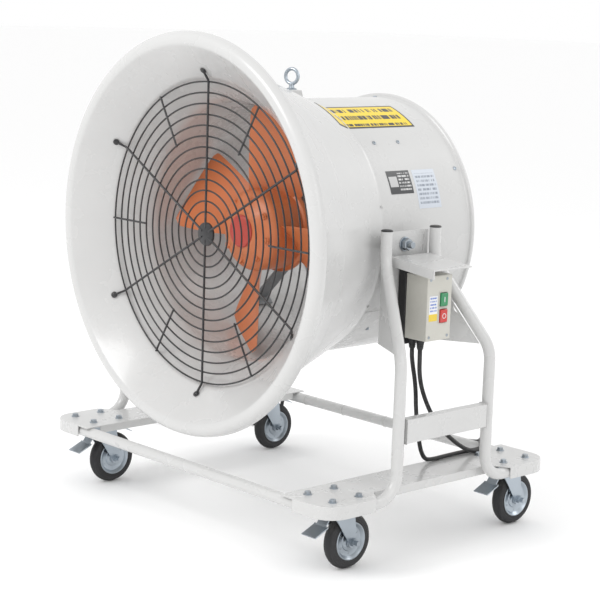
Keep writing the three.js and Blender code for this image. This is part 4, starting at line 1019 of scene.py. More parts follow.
@dataclass
class Cords:
    """The supply cord with its stored coil and plug, and the motor's lead.

    Args:
        radius: half a cord's thickness.
        coil: the coil's centre on the floor.
        turns: radius and height of the middle of each turn, from the cord's arrival.
        tail: places that the cord runs through from the coil to its plug, past the coil's side.
        plug_body: radius of the plug.
    """

    radius: float = 0.00525
    coil: Pair = (-0.765, 0.385)
    turns: tuple[Pair, ...] = ((0.07375, 0.0056), (0.0631, 0.0056), (0.05245, 0.0056), (0.0418, 0.0056),
                               (0.0418, 0.01625), (0.05245, 0.01625), (0.0631, 0.01625), (0.07375, 0.01625))
    tail: tuple[Pair, ...] = ((-0.016, 0.0168), (-0.036, 0.0188), (-0.056, 0.0206), (-0.0686, 0.021))
    plug_body: float = 0.021

    def placed(self, route: Sequence[Triple]) -> list[Vector]:
        """A route's points in the row frame."""
        return [Vector(p) + Vector((0, PIVOT_Y, 0)) for p in route]

    def winding(self) -> list[Vector]:
        """Points of the coil, which turns from its rear side and ends at its left side."""
        points = []
        step = 10
        last = len(self.turns) - 1
        for index, (radius, height) in enumerate(self.turns):
            ahead = self.turns[min(index + 1, last)]
            for degrees in range(0, 90 if index == last else 360, step):
                climb = min(max((degrees - 230) / 60, 0.0), 1.0)
                shift = min(max((degrees - 290) / 70, 0.0), 1.0)
                r = radius + (ahead[0] - radius) * shift * shift * (3 - 2 * shift)
                z = height + (ahead[1] - height) * climb * climb * (3 - 2 * climb)
                angle = math.radians(90 + degrees)
                points.append(Vector((self.coil[0] + r * math.cos(angle),
                                      self.coil[1] + PIVOT_Y + r * math.sin(angle), z)))
        x = self.coil[0] - self.turns[-1][0]
        points += [Vector((x, self.coil[1] + PIVOT_Y + y, z)) for y, z in self.tail]
        return points

    def line(self, name: str, path: Sequence[Vector]) -> bpy.types.Object:
        """A cord as one open spline."""
        curve = bpy.data.curves.new(name, "CURVE")
        curve.dimensions = "3D"
        curve.bevel_depth = self.radius
        curve.bevel_resolution = 3
        curve.use_fill_caps = True
        spline = curve.splines.new("POLY")
        spline.points.add(len(path) - 1)
        for point, at in zip(spline.points, path):
            point.co = (*at, 1)
        spline.use_smooth = True
        return linked(name, curve)

    def plug(self) -> bpy.types.Object:
        """A round moulded three-pin plug with a ribbed grip."""
        outline = [(0, 0), (7.2, 0), (8.4, 1.5)]
        for rib in range(4):
            along = 3 + rib * 4
            outline += [(8.6 + rib * 0.5, along), (9.4 + rib * 0.5, along + 1), (8.7 + rib * 0.5, along + 2.4)]
        outline += [(13, 21), (17, 28), (18.6, 34), (19, 44), (20.4, 46), (20.8, 47.5), (20.8, 60.5), (20, 61.6),
                    (14.5, 62), (14.5, 60.5), (0, 60.5)]
        shape = lathe(outline, 48)
        pin = lathe([(0, 60), (3.1, 60), (3.1, 78), (2.2, 79.8), (0, 79.8)], 14)
        at = Matrix.Translation((self.coil[0] - self.turns[-1][0], self.coil[1] + PIVOT_Y - 0.0686,
                                 self.plug_body))
        place = at @ Matrix.Rotation(math.pi, 4, "Z") @ Matrix.Scale(MM, 4)
        made = piece("supply_plug", shape, place, MOULDED_BLACK, "trolley", ("plug",))
        pins = Shape()
        for index in range(3):
            angle = math.radians(90 + 120 * index)
            pins += pin.moved(Matrix.Translation((12 * math.cos(angle), 0, 12 * math.sin(angle))))
        piece("plug_pins", pins, place, ZINC, "trolley")
        return made

    def gland(self, node: str, at: Pair) -> bpy.types.Object:
        """A ribbed strain relief that tapers down onto its cord."""
        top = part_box(node)[1].z / MM
        outline = [(0, top), (10.6, top), (10.6, top - 3), (9.4, top - 4), (9.4, top - 8), (8.6, top - 9)]
        for rib in range(3):
            edge = top - 10 - rib * 4.2
            outline += [(8.8 - rib * 0.5, edge), (8.8 - rib * 0.5, edge - 2.2), (7.4 - rib * 0.4, edge - 2.8),
                        (7.4 - rib * 0.4, edge - 4)]
        outline += [(6.4, top - 23.8), (0, top - 23.8)]
        shape = lathe(outline, 32, UPRIGHT).moved(Matrix.Translation((at[0], at[1], 0)))
        return piece(node + "_moulded", shape, IN_TROLLEY, MOULDED_BLACK, "trolley", (node,))

    def ties(self) -> None:
        """Pale cable ties that hold the cords to the rear crossbar, with their heads behind it."""
        shape = Shape()
        for x in (-330, -180, -20, 140):
            loop = [Vector((x, 353 + 14.8 * math.cos(a), 159 + 14.8 * math.sin(a)))
                    for a in [math.radians(95 + 170 * k / 14) for k in range(15)]]
            loop += [Vector((x, 373.2 + 6.3 * math.cos(a), 154 + 6.3 * math.sin(a)))
                     for a in [math.radians(-80 + 150 * k / 10) for k in range(11)]]
            shape += tube(loop, 0.75, 8, closed=True)
            shape += block((x - 2.2, 364, 163.2), (x + 2.2, 368, 167.4))
        piece("crossbar_cable_ties", shape, IN_TROLLEY, WHITE_NYLON, "trolley", smooth=40)

    def build(self) -> None:
        """Both cords, their glands, the plug and the ties."""
        plug = self.plug()
        route = self.placed(SUPPLY_ROUTE)
        path = smooth_path([*route, *self.winding()], 0.006)
        supply = self.line("supply_cord_line", path)
        settle(supply, CORD_SHEATH, "trolley", ("supply_cord", "cord_coil"))
        route = self.placed(LEAD_ROUTE)
        path = smooth_path(route, 0.006)
        lead = self.line("motor_lead_line", path)
        settle(lead, CORD_SHEATH, "trolley", ("motor_lead",))
        self.gland("supply_gland", (418, -24))
        self.gland("lead_gland", (443, -24))
        self.ties()


# ---------------------------------------------------------------- tilting head
@dataclass
class Bell:
    """The spun bell mouth and the cone behind it.

    Args:
        lip: radius, distance along and roll radius of the lip.
        sheet: the bell's sheet.
        throat: radius and distance along of its narrow end.
        seam: radius and distance along of the cone's seam.
        knee: the same of its crease.
        rear: radius and distance along of its rear end.
    """

    lip: Triple = (450.5, -358.5, 20.0)
    sheet: float = 2.0
    throat: Pair = (308.5, -200.3)
    seam: Pair = (383.0, -217.0)
    knee: Pair = (351.0, -131.0)
    rear: Pair = (314.3, -23.0)
    segments: int = 160

    def horn(self, offset: float) -> tuple[Pair, Pair, Pair]:
        """Ends and control point of the air side's curve, an offset into the sheet."""
        radius, along, roll = self.lip
        reach = (roll - offset) * math.sqrt(0.5)
        start = (radius - reach, along - reach)
        throat = self.throat[0] + offset
        return start, (throat, start[1] + start[0] - throat), (throat, self.throat[1])

    def side(self, offset: float) -> list[Pair]:
        """One face of the sheet from the lip's hem to the throat."""
        radius, along, roll = self.lip
        rolled = arc((radius, along), roll - offset, 0, -135, 26)
        return [(radius + roll - offset, along + 4), *rolled, *quadratic(*self.horn(offset), 30)[1:]]

    def build(self) -> None:
        """The bell and the cone."""
        shape = lathe([*self.side(0), *reversed(self.side(self.sheet))], self.segments)
        piece("bell_mouth_spun", shape, IN_HEAD, INNER_COAT, "head", ("bell_mouth",))
        hidden = (self.lip[2] - self.sheet) * math.sqrt(0.5) - 1.2
        front = (self.lip[0] + hidden, self.lip[1] - hidden)
        flare = quadratic(front, (self.seam[0] + 42, self.seam[1] - 111), self.seam, 26)
        r, y = self.seam
        lap = [(r - 0.9, y + 0.4), (r - 1.1, y + 2.2), (r - 2.4, y + 3.6)]
        skirt = quadratic((self.knee[0] + 3.4, self.knee[1] - 10), self.knee,
                          (self.knee[0] - 3.2, self.knee[1] + 10), 6)
        land = [(self.rear[0] + 0.4, self.rear[1] - 7), (self.rear[0], self.rear[1] - 5), self.rear]
        outside = [*flare, *lap, *skirt, *land]
        inside = [(a - 1.5, b) for a, b in reversed(outside)]
        piece("cone_shell", lathe([*outside, *inside], self.segments), IN_HEAD, POWDER_COAT, "head",
              ("outer_cone",), smooth=12)


@dataclass
class Drum:
    """The straight duct with its rear bead, seam, screws and labels.

    Args:
        inner: inner radius.
        outer: outer radius.
        front: distance along of its front end.
        rear: distance along of its rear end.
        bead: radius of the rear bead.
        lap_rear: distance along of the edge of the cone that laps it.
        lap_end: where the cone starts to open out.
        lap_radius: the cone's outer radius there.
        lap_slope: how fast the cone opens out.
    """

    inner: float = 308.5
    outer: float = 312.5
    front: float = -200.0
    rear: float = 284.0
    bead: float = 322.4
    lap_rear: float = -22.9
    lap_end: float = -28.0
    lap_radius: float = 314.7
    lap_slope: float = 0.357

    def on_drum(self, along: float, degrees: float, proud: float = 0.0) -> Vector:
        """A point on the drum, or on the cone that laps it.

        Args:
            along: its distance along the drum.
            degrees: its turn from the drum's right side towards the top.
            proud: its height over the surface.

        Returns:
            The point, in millimetres about the fan axis.
        """
        angle = math.radians(degrees)
        on_cone = self.lap_radius + self.lap_slope * (self.lap_end - along)
        radius = (on_cone if along < self.lap_rear else self.outer) + proud
        return Vector((radius * math.cos(angle), along, radius * math.sin(angle)))

    def outward(self, degrees: float) -> Vector:
        """The way out of the drum at an angle."""
        angle = math.radians(degrees)
        return Vector((math.cos(angle), 0, math.sin(angle)))

    def shell(self) -> None:
        """The duct with a rolled bead at its rear."""
        centre = (self.bead - 6.2, self.rear - 6.2)
        roll = arc(centre, 6.2, -60, 90, 14)
        outline = [(self.inner, self.front), (self.outer, self.front), (self.outer, self.rear - 18),
                   (self.outer + 0.6, self.rear - 15.5), (self.outer + 3, self.rear - 12.6), *roll,
                   (self.inner + 2, self.rear), (self.inner, self.rear - 2)]
        piece("duct_drum", lathe(outline, 160), IN_HEAD, POWDER_COAT, "head", ("duct_shell",), smooth=28)

    def patch(self, name: str, along: Pair, degrees: Pair, finish: Finish, proud: float = 0.35,
              steps: int = 16) -> None:
        """A thin curved sheet on the drum with its own map, such as a label.

        Args:
            name: the piece's name.
            along: its two ends along the drum.
            degrees: its two edges round the drum; the first is the map's top.
            finish: what it is covered with.
            proud: its thickness.
            steps: parts round the drum.
        """
        stations = [*along]
        if along[0] < self.lap_end:
            stations[1:1] = [self.lap_end, self.lap_rear - 0.1, self.lap_rear]
        wide = len(stations)
        points, faces = [], []
        for height in (proud, -0.3):
            for k in range(steps + 1):
                turn = degrees[0] + (degrees[1] - degrees[0]) * k / steps
                points += [self.on_drum(station, turn, height) for station in stations]
        half = wide * (steps + 1)
        for k in range(steps):
            for c in range(wide - 1):
                a = wide * k + c
                under = a + half
                faces += [(a, a + 1, a + wide + 1, a + wide),
                          (under, under + wide, under + wide + 1, under + 1)]
            a, b = wide * k, wide * k + wide - 1
            faces += [(a, a + wide, a + wide + half, a + half), (b, b + half, b + wide + half, b + wide)]
        last = wide * steps
        for c in range(wide - 1):
            faces += [(c, c + half, c + half + 1, c + 1),
                      (last + c, last + c + 1, last + c + 1 + half, last + c + half)]
        mesh = mesh_of(name, Shape(points, faces), IN_HEAD, 30)
        chart = mesh.uv_layers.new(name="label")
        for loop in mesh.loops:
            p = mesh.vertices[loop.vertex_index].co
            turn = math.degrees(math.atan2(p.z - AXIS_Z, p.x))
            u = ((p.y - PIVOT_Y) / MM - along[0]) / (along[1] - along[0])
            v = (turn - degrees[1]) / (degrees[0] - degrees[1])
            chart.data[loop.index].uv = (u, v)
        settle(linked(name, mesh), finish, "head")

    def fixings(self) -> None:
        """Screws through the drum and the cone's land."""
        places = [(255, 30), (255, 92), (255, 150), (255, 210), (24, 45), (104, 45), (30, -46), (104, -46),
                  (24, 135), (104, 135), (24, 225), (104, 225)]
        seats = [(self.on_drum(along, turn, 0.2), self.outward(turn)) for along, turn in places]
        Repeats.on_points("drum_screws", screw_head(5.2, 2.8), seats, IN_HEAD, ZINC, "head")
        land = [(self.on_drum(-26, turn, 2.4), self.outward(turn)) for turn in range(15, 360, 45)]
        Repeats.on_points("cone_land_rivets", screw_head(3.4, 1.6), land, IN_HEAD, POWDER_COAT, "head")

    def build(self) -> None:
        """The drum and everything fixed on it."""
        self.shell()
        self.patch("drum_seam", (-18, 262), (-33.6, -34.4), POWDER_COAT, 0.9, 3)
        self.patch("caution_label_plate", (-60, 200), (72, 54), CAUTION_LABEL)
        self.patch("nameplate_plate", (16, 92), (30.5, 20), NAMEPLATE, 0.6)
        self.patch("data_label_plate", (102, 178), (30.5, 13), PALE_LABEL)
        self.fixings()


@dataclass
class Guards:
    """The wire guards over the inlet and the outlet.

    Args:
        radius: radius of the inlet guard's outer ring.
        along: distance along of the inlet guard.
        rings: how many rings it has.
        pitch: distance between its rings.
        wire: radius of its ring wire.
        rod: radius of its rods.
        outlet_along: distance along of the outlet guard.
        outlet_radius: radius of the outlet guard's outer ring.
        outlet_pitch: distance between its rings.
        outlet_rings: how many rings it has.
    """

    radius: float = 354.8
    along: float = -298.7
    rings: int = 13
    pitch: float = 25.2
    wire: float = 2.1
    rod: float = 2.8
    outlet_along: float = 276.0
    outlet_radius: float = 303.0
    outlet_pitch: float = 46.0
    outlet_rings: int = 6

    def rings_piece(self, name: str, along: float, radius: float, pitch: float, count: int,
                    wire: float, replaces: Sequence[str]) -> None:
        """One guard's rings.

        Args:
            name: the piece's name.
            along: the guard's distance along.
            radius: radius of its outer ring.
            pitch: distance between rings.
            count: how many rings there are.
            wire: radius of the wire.
            replaces: the CAD nodes that they stand for.
        """
        made = linked(name, bpy.data.meshes.new(name))
        place = Matrix.Translation((0, PIVOT_Y + along * MM, AXIS_Z))
        Repeats.baked(made, Repeats.wire_rings(), WIRE_COAT, place, 60, Count=count, Outer_Radius=radius * MM,
                      Pitch=pitch * MM, Wire_Radius=wire * MM)
        settle(made, WIRE_COAT, "head", replaces)

    def long_rod(self, bell: Bell) -> Shape:
        """A rod from the hub out to the bell's wall, hooked round into a flat eyelet with its screw."""
        start, control, end = bell.horn(0)
        share = 0.24
        seat = quadratic(start, control, end, 100)[round(share * 100)]
        ahead = quadratic(start, control, end, 100)[round(share * 100) + 1]
        tangent = Vector((ahead[0] - seat[0], ahead[1] - seat[1])).normalized()
        inward = Vector((-tangent.y, tangent.x))
        if inward.x > 0:
            inward.negate()
        eye = Vector(seat) + inward * (self.rod + 0.3)
        elbow = self.radius + 2
        flat = self.along - self.wire - 0.4
        corners = [(Vector((14, flat, 0)), 0), (Vector((elbow - 4, flat, 0)), 7),
                   (Vector((elbow + 3, flat - 2, 0)), 4), (Vector((eye.x, eye.y, 0)), 0)]
        rod = tube(bent_run(corners, 15), self.rod, 10)
        turn = Matrix.Rotation(math.atan2(inward.y, inward.x) - math.pi / 2, 4, "Z")
        at = Matrix.Translation((eye.x, eye.y, 0))
        ring = lathe([(3.2, -1.4), (7.6, -1.4), (8, 0), (7.6, 1.4), (3.2, 1.4)], 20).moved(at @ turn)
        head = lathe([(0, 1.3), (5.2, 1.3), (5.0, 3.0), (3.2, 4.1), (0, 4.3)], 14).moved(at @ turn)
        return rod + ring + head

    def short_rod(self) -> Shape:
        """A stiffening rod across the outer rings, between two long rods."""
        flat = self.along - self.wire - 0.4
        inner = self.radius - 5 * self.pitch - 4
        return tube([Vector((inner, flat, 0)), Vector((self.radius + 2.5, flat, 0))], self.rod - 0.3, 10)

    def build(self, bell: Bell) -> None:
        """Both guards."""
        self.rings_piece("inlet_guard_rings", self.along, self.radius, self.pitch, self.rings, self.wire,
                         ("front_guard",))
        Repeats.around("inlet_guard_rods", self.long_rod(bell), WIRE_COAT, "head", 6, 30)
        Repeats.around("inlet_guard_short_rods", self.short_rod(), WIRE_COAT, "head", 6, 0)
        disc = [(0, -3.4), (25, -3.4), (27.4, -2.2), (28, 0), (28, 2.6), (0, 2.6)]
        place = IN_HEAD @ Matrix.Translation((0, self.along, 0))
        piece("inlet_guard_disc", lathe(disc, 48), place, WIRE_COAT, "head")
        self.rings_piece("outlet_guard_rings", self.outlet_along, self.outlet_radius, self.outlet_pitch,
                         self.outlet_rings, 2.4, ("rear_guard",))
        flat = self.outlet_along + 0.2
        rod = tube([Vector((20, flat, 0)), Vector((self.outlet_radius, flat, 0))], 2.6, 10)
        Repeats.around("outlet_guard_rods", rod, WIRE_COAT, "head", 6, 0)
        place = IN_HEAD @ Matrix.Translation((0, self.outlet_along, 0))
        piece("outlet_guard_disc", lathe([(0, -2.8), (34, -2.8), (34, 1), (32, 2.8), (0, 2.8)], 48), place,
              WIRE_COAT, "head")


@dataclass
class Rotor:
    """The impeller: a hub with twisted blades, its cap and the shaft.

    Args:
        hub: radius of the hub.
        root: radius at which the blades start.
        tip: radius of their tips.
        first: angle of the first blade, from the right side towards the top.
        spans: degrees that a blade covers at its root and at its tip.
        reach: distance along of the blades' leading and trailing edges.
    """

    hub: float = 98.0
    root: float = 84.0
    tip: float = 300.0
    first: float = 165.0
    blades: int = 4
    spans: Pair = (62.0, 38.0)
    reach: Pair = (-150.0, -66.0)

    def blade(self) -> Shape:
        """One blade, thickest in the middle and rounded at its edges."""
        stations, steps = 22, 20
        points, faces = [], []
        for i in range(stations + 1):
            share = i / stations
            radius = self.root + (self.tip - self.root) * share
            close = 1.0 - max(0.0, (share - 0.93) / 0.07) ** 2 * 0.16
            span = (self.spans[0] + (self.spans[1] - self.spans[0]) * math.sqrt(share)) * close
            half = 3.0 * (1 - 0.45 * share)
            for face in (1, -1):
                for k in range(steps + 1):
                    along = k / steps if face > 0 else 1 - k / steps
                    bow = math.sin(math.pi * along)
                    angle = math.radians(span * (0.5 - along))
                    y = self.reach[0] + (self.reach[1] - self.reach[0]) * along + bow * 9
                    y += face * half * (0.12 + 0.88 * bow ** 0.5 if bow > 0 else 0.12)
                    points.append(Vector((radius * math.cos(angle), y, radius * math.sin(angle))))
        width = 2 * (steps + 1)
        for i in range(stations):
            for k in range(width):
                a, b = i * width + k, i * width + (k + 1) % width
                faces.append((a, b, b + width, a + width))
        faces.append(tuple(reversed(range(width))))
        faces.append(tuple(range(stations * width, (stations + 1) * width)))
        return Shape(points, faces)

    def build(self) -> None:
        """The hub, the blades, the cap and the shaft."""
        hub = [(0, -190), (45, -190), (47, -189.2), (53, -187), (60, -183.5),
               *quadratic((66, -179), (96.5, -168),
               (self.hub, -150), 8), (self.hub, -78), (self.hub + 2, -76), (105, -74.4), (106, -72.5), (106, -63.5),
               (105, -62), (14.2, -62), (14.2, -100), (0, -100)]
        piece("impeller_hub", lathe(hub, 96), IN_HEAD, BLADE_PAINT, "impeller_rotor", ("impeller",))
        Repeats.around("impeller_blades", self.blade(), BLADE_PAINT, "impeller_rotor", self.blades,
                       -self.first, smooth=50)
        bolt = hex_bolt(13, 6, 9.5, 1.6).moved(ALONG_Y.inverted())
        seated = bolt.moved(Matrix.Translation((76, -172.6, 0)) @ Matrix.Rotation(math.radians(-24), 4, "Z"))
        Repeats.around("hub_bolts", seated, BLADE_PAINT, "impeller_rotor", 8, 12)
        cap = [(0, -196.2), (30, -196.2), (36, -195.2), (38.6, -193.6), (39.6, -191.6), (39.6, -190.3), (0, -190.3)]
        piece("hub_red_cap", lathe(cap, 64), IN_HEAD, CAP_PAINT, "impeller_rotor", ("hub_cap",))
        shaft = [(0, -121.5), (13.2, -121.5), (13.7, -121), (13.7, -18.8), (13.2, -18.3), (0, -18.3)]
        piece("shaft_bar", lathe(shaft, 32), IN_HEAD, DARK_STEEL, "impeller_rotor", ("motor_shaft",))


@dataclass
class Motor:
    """The flange-cooled motor and its arms in the duct.

    Args:
        radius: radius over the fins.
        core: radius between the fins.
        front: distance along of its drive end.
        rear: distance along of its other end.
    """

    radius: float = 86.0
    core: float = 76.0
    front: float = -48.0
    rear: float = 176.0

    def build(self) -> None:
        """Body, fins, terminal box and arms."""
        body = [(14.6, self.front), (40, self.front), (44, self.front + 4), (66, self.front + 6),
                (72, self.front + 12), (self.radius, self.front + 20), (self.radius, self.front + 28),
                (self.core, self.front + 30), (self.core, self.rear - 46), (self.radius, self.rear - 44),
                (self.radius, self.rear - 20), (80, self.rear - 10), (70, self.rear - 1), (66, self.rear),
                (0, self.rear), (0, self.front + 30), (14.6, self.front + 30)]
        piece("motor_shell", lathe(body, 72), IN_HEAD, MOTOR_PAINT, "head", ("motor_body",))
        fin = block((self.core - 3, self.front + 26, -1.2), (self.radius - 0.6, self.rear - 42, 1.2))
        Repeats.around("motor_fins", fin, MOTOR_PAINT, "head", 40, 4.5)
        vent = block((24, self.rear - 4, -1.6), (60, self.rear + 0.6, 1.6))
        Repeats.around("motor_cowl_ribs", vent, MOTOR_PAINT, "head", 18)
        box = block((-33, 102, 79), (33, 149, 116)) + block((-34, 101, 112), (34, 150, 119.4))
        piece("motor_terminal_box", box, IN_HEAD, MOTOR_PAINT, "head", bevel=2.0)
        seats = [(Vector((x, y, 119.4)), Vector((0, 0, 1))) for x in (-27, 27) for y in (108, 143)]
        Repeats.on_points("terminal_box_screws", screw_head(3.4, 1.6), seats, IN_HEAD, ZINC, "head")
        dressed_copy("motor_mount", "motor_arms", MOTOR_PAINT, "head", 0.8)


@dataclass
class LiftingEye:
    """The eyebolt on top of the head.

    Args:
        ring: distance along, height over the axis, radius and wire radius of its ring.
        pad: half width, and height of its top over the axis.
        turn: degrees that the ring is turned about its stem.
    """

    ring: tuple[float, float, float, float] = (-42.0, 366.4, 17.6, 4.3)
    pad: Pair = (21.0, 334.4)
    turn: float = 15.0

    def build(self) -> None:
        """The pad, the collar, the stem and the ring."""
        along, height, radius, wire = self.ring
        half, top = self.pad
        hoop = [Vector((math.cos(a) * radius, 0, math.sin(a) * radius))
                for a in [2 * math.pi * k / 56 for k in range(56)]]
        ring = tube(hoop, wire, 18, closed=True).moved(
            Matrix.Translation((0, along, height)) @ Matrix.Rotation(math.radians(self.turn), 4, "Z"))
        stem = lathe([(0, top - 2), (12.5, top - 2), (12.5, top + 2.2), (11.6, top + 3.2), (7.2, top + 4.4),
                      (6.2, top + 8), (6.4, height - radius + 0.5), (0, height - radius + 0.5)], 32, UPRIGHT)
        piece("lifting_ring", ring + stem.moved(Matrix.Translation((0, along, 0))), IN_HEAD, ZINC, "head",
              ("lifting_eye",), smooth=40)
        front, back = along - half, along + half
        foot = [(front, 328.6), (-29, 315.2), (back, 315.2), (back - 6, top), (front + 6, top)]
        base = slab(foot, -half, half, Matrix.Rotation(math.pi / 2, 4, "Z") @ Matrix.Rotation(math.pi / 2, 4, "X"))
        piece("lifting_pad", base, IN_HEAD, POWDER_COAT, "head", bevel=1.6)


@dataclass
class Pivots:
    """Bosses on the duct and the bolts that it tilts on.

    Args:
        boss: inner end, outer end and radius of a boss.
        face: distance out of the side bracket's outer face.
    """

    boss: Triple = (312.8, 353.4, 21.0)
    face: float = 357.0

    def build(self) -> None:
        """A boss on each side, with its bolt, washers and nut."""
        inner, outer, radius = self.boss
        for side, way in SIDES:
            turned = IN_HEAD if way > 0 else IN_HEAD @ Matrix.Rotation(math.pi, 4, "Z")
            boss = [(8.6, inner), (radius - 3, inner), (radius, inner + 4), (radius, outer - 1.2),
                    (radius - 1.2, outer), (8.6, outer)]
            piece("pivot_boss_" + side + "_turned", lathe(boss, 48, ALONG_X), turned, POWDER_COAT, "head",
                  ("pivot_boss_" + side,))
            washer = [(8.2, self.face + 0.3), (16.6, self.face + 0.3), (17, self.face + 0.8),
                      (17, self.face + 2.8), (16.4, self.face + 3.3), (8.2, self.face + 3.3)]
            nut_end = self.face + 16.3
            corner = 25 / math.sqrt(3)
            nut = [(0, self.face + 3.1), (corner * 0.9, self.face + 3.1), (corner, self.face + 4.6),
                   (corner, nut_end - 1.8), (corner * 0.87, nut_end), (0, nut_end)]
            bolt = [(0, 332.2), (7.8, 332.2), (7.8, 384.4), (6.6, 385.8), (0, 385.8)]
            shape = lathe(washer, 40, ALONG_X) + lathe(nut, 6, ALONG_X) + lathe(bolt, 28, ALONG_X)
            piece("pivot_bolt_" + side + "_set", shape, turned, ZINC, "trolley", ("pivot_bolt_" + side,))


# ---------------------------------------------------------------- trolley
@dataclass
class Trolley:
    """The bent tubes, base plates and brackets.

    Args:
        tube_radius: half the tube's thickness.
        top: where an upright ends, out from the middle, along and up.
        upper: height of its upper kink.
        lower: height of its lower kink.
        foot: where its foot stands, out and along.
        cross: distance along and height of the crossbar.
        bends: bend radii of the kinks, the foot and the crossbar's corners.
    """

    tube_radius: float = 13.6
    top: Triple = (378.0, 80.4, 744.0)
    upper: float = 670.0
    lower: float = 470.0
    foot: Pair = (505.0, 148.5)
    cross: Pair = (353.0, 158.9)
    bends: Triple = (90.0, 60.0, 58.0)

    def half(self, side: float, end: float) -> list[tuple[Vector, float]]:
        """The corners of one upright and its foot."""
        x, y, z = self.top
        kink, base, corner = self.bends
        return [(Vector((side * x, end * y, z)), 0.0), (Vector((side * x, end * y, self.upper)), kink),
                (Vector((side * self.foot[0], end * self.foot[1], self.lower)), kink),
                (Vector((side * self.foot[0], end * self.foot[1], self.cross[1])), base),
                (Vector((side * self.foot[0], end * self.cross[0], self.cross[1])), corner)]

    def tubes(self) -> None:
        """One bent tube at each end with a domed cap on each of its tops."""
        radius = self.tube_radius
        x, y, z = self.top
        cap = [(0, z + 4.3), (radius - 4, z + 4.2), (radius - 1, z + 3.4), (radius + 0.4, z + 1.8),
               (radius + 0.4, z + 0.3), (0, z + 0.3)]
        for name, end in ENDS:
            corners = [*self.half(1.0, end), *reversed(self.half(-1.0, end))]
            piece("bent_tube_" + name, tube(bent_run(corners), radius, 36), IN_TROLLEY, POWDER_COAT, "trolley",
                  ("frame_tube_" + name,), smooth=40)
            for side, way in SIDES:
                shape = lathe(cap, 32, UPRIGHT).moved(Matrix.Translation((way * x, end * y, 0)))
                piece("upright_cap_" + name + "_" + side, shape, IN_TROLLEY, MOULDED_BLACK, "trolley",
                      ("tube_cap_" + name + "_" + side,))

    def welds(self) -> None:
        """Beads where the tie bars and brackets meet the uprights."""
        beads = []
        reach = self.foot[1] - self.tube_radius - 0.4
        for _, way in SIDES:
            for _, end in ENDS:
                x = way * (self.foot[0] + 1)
                loop = [(x - way * 12.2, 286.2), (x + way * 12.2, 286.2), (x + way * 12.2, 340.8),
                        (x - way * 12.2, 340.8)]
                for (ax, az), (bx, bz) in zip(loop, [*loop[1:], loop[0]]):
                    span = Vector((bx - ax, 0, bz - az))
                    count = max(2, round(span.length / 2.6))
                    beads += [(Vector((ax, end * reach, az)) + span * (k / count), Vector((0, -end, 0)))
                              for k in range(count)]
        bead = lathe([(0, 1.5), (1.1, 1.2), (1.9, 0.2), (1.9, -0.6), (0, -0.6)], 8, UPRIGHT)
        Repeats.on_points("tie_bar_welds", bead, beads, IN_TROLLEY, POWDER_COAT, "trolley")

    def build(self) -> None:
        """The whole trolley without its casters and switch box."""
        self.tubes()
        self.welds()
        for side, _ in SIDES:
            dressed_copy("base_plate_" + side, "base_plate_" + side + "_pressed", POWDER_COAT, "trolley", 0.9)
            dressed_copy("tie_bar_" + side, "tie_bar_" + side + "_pressed", POWDER_COAT, "trolley", 1.6)
            dressed_copy("side_bracket_" + side, "side_bracket_" + side + "_pressed", POWDER_COAT, "trolley", 0.5)
        dressed_copy("lead_grommet", "lead_grommet_moulded", MOULDED_BLACK, "trolley", 0.4)


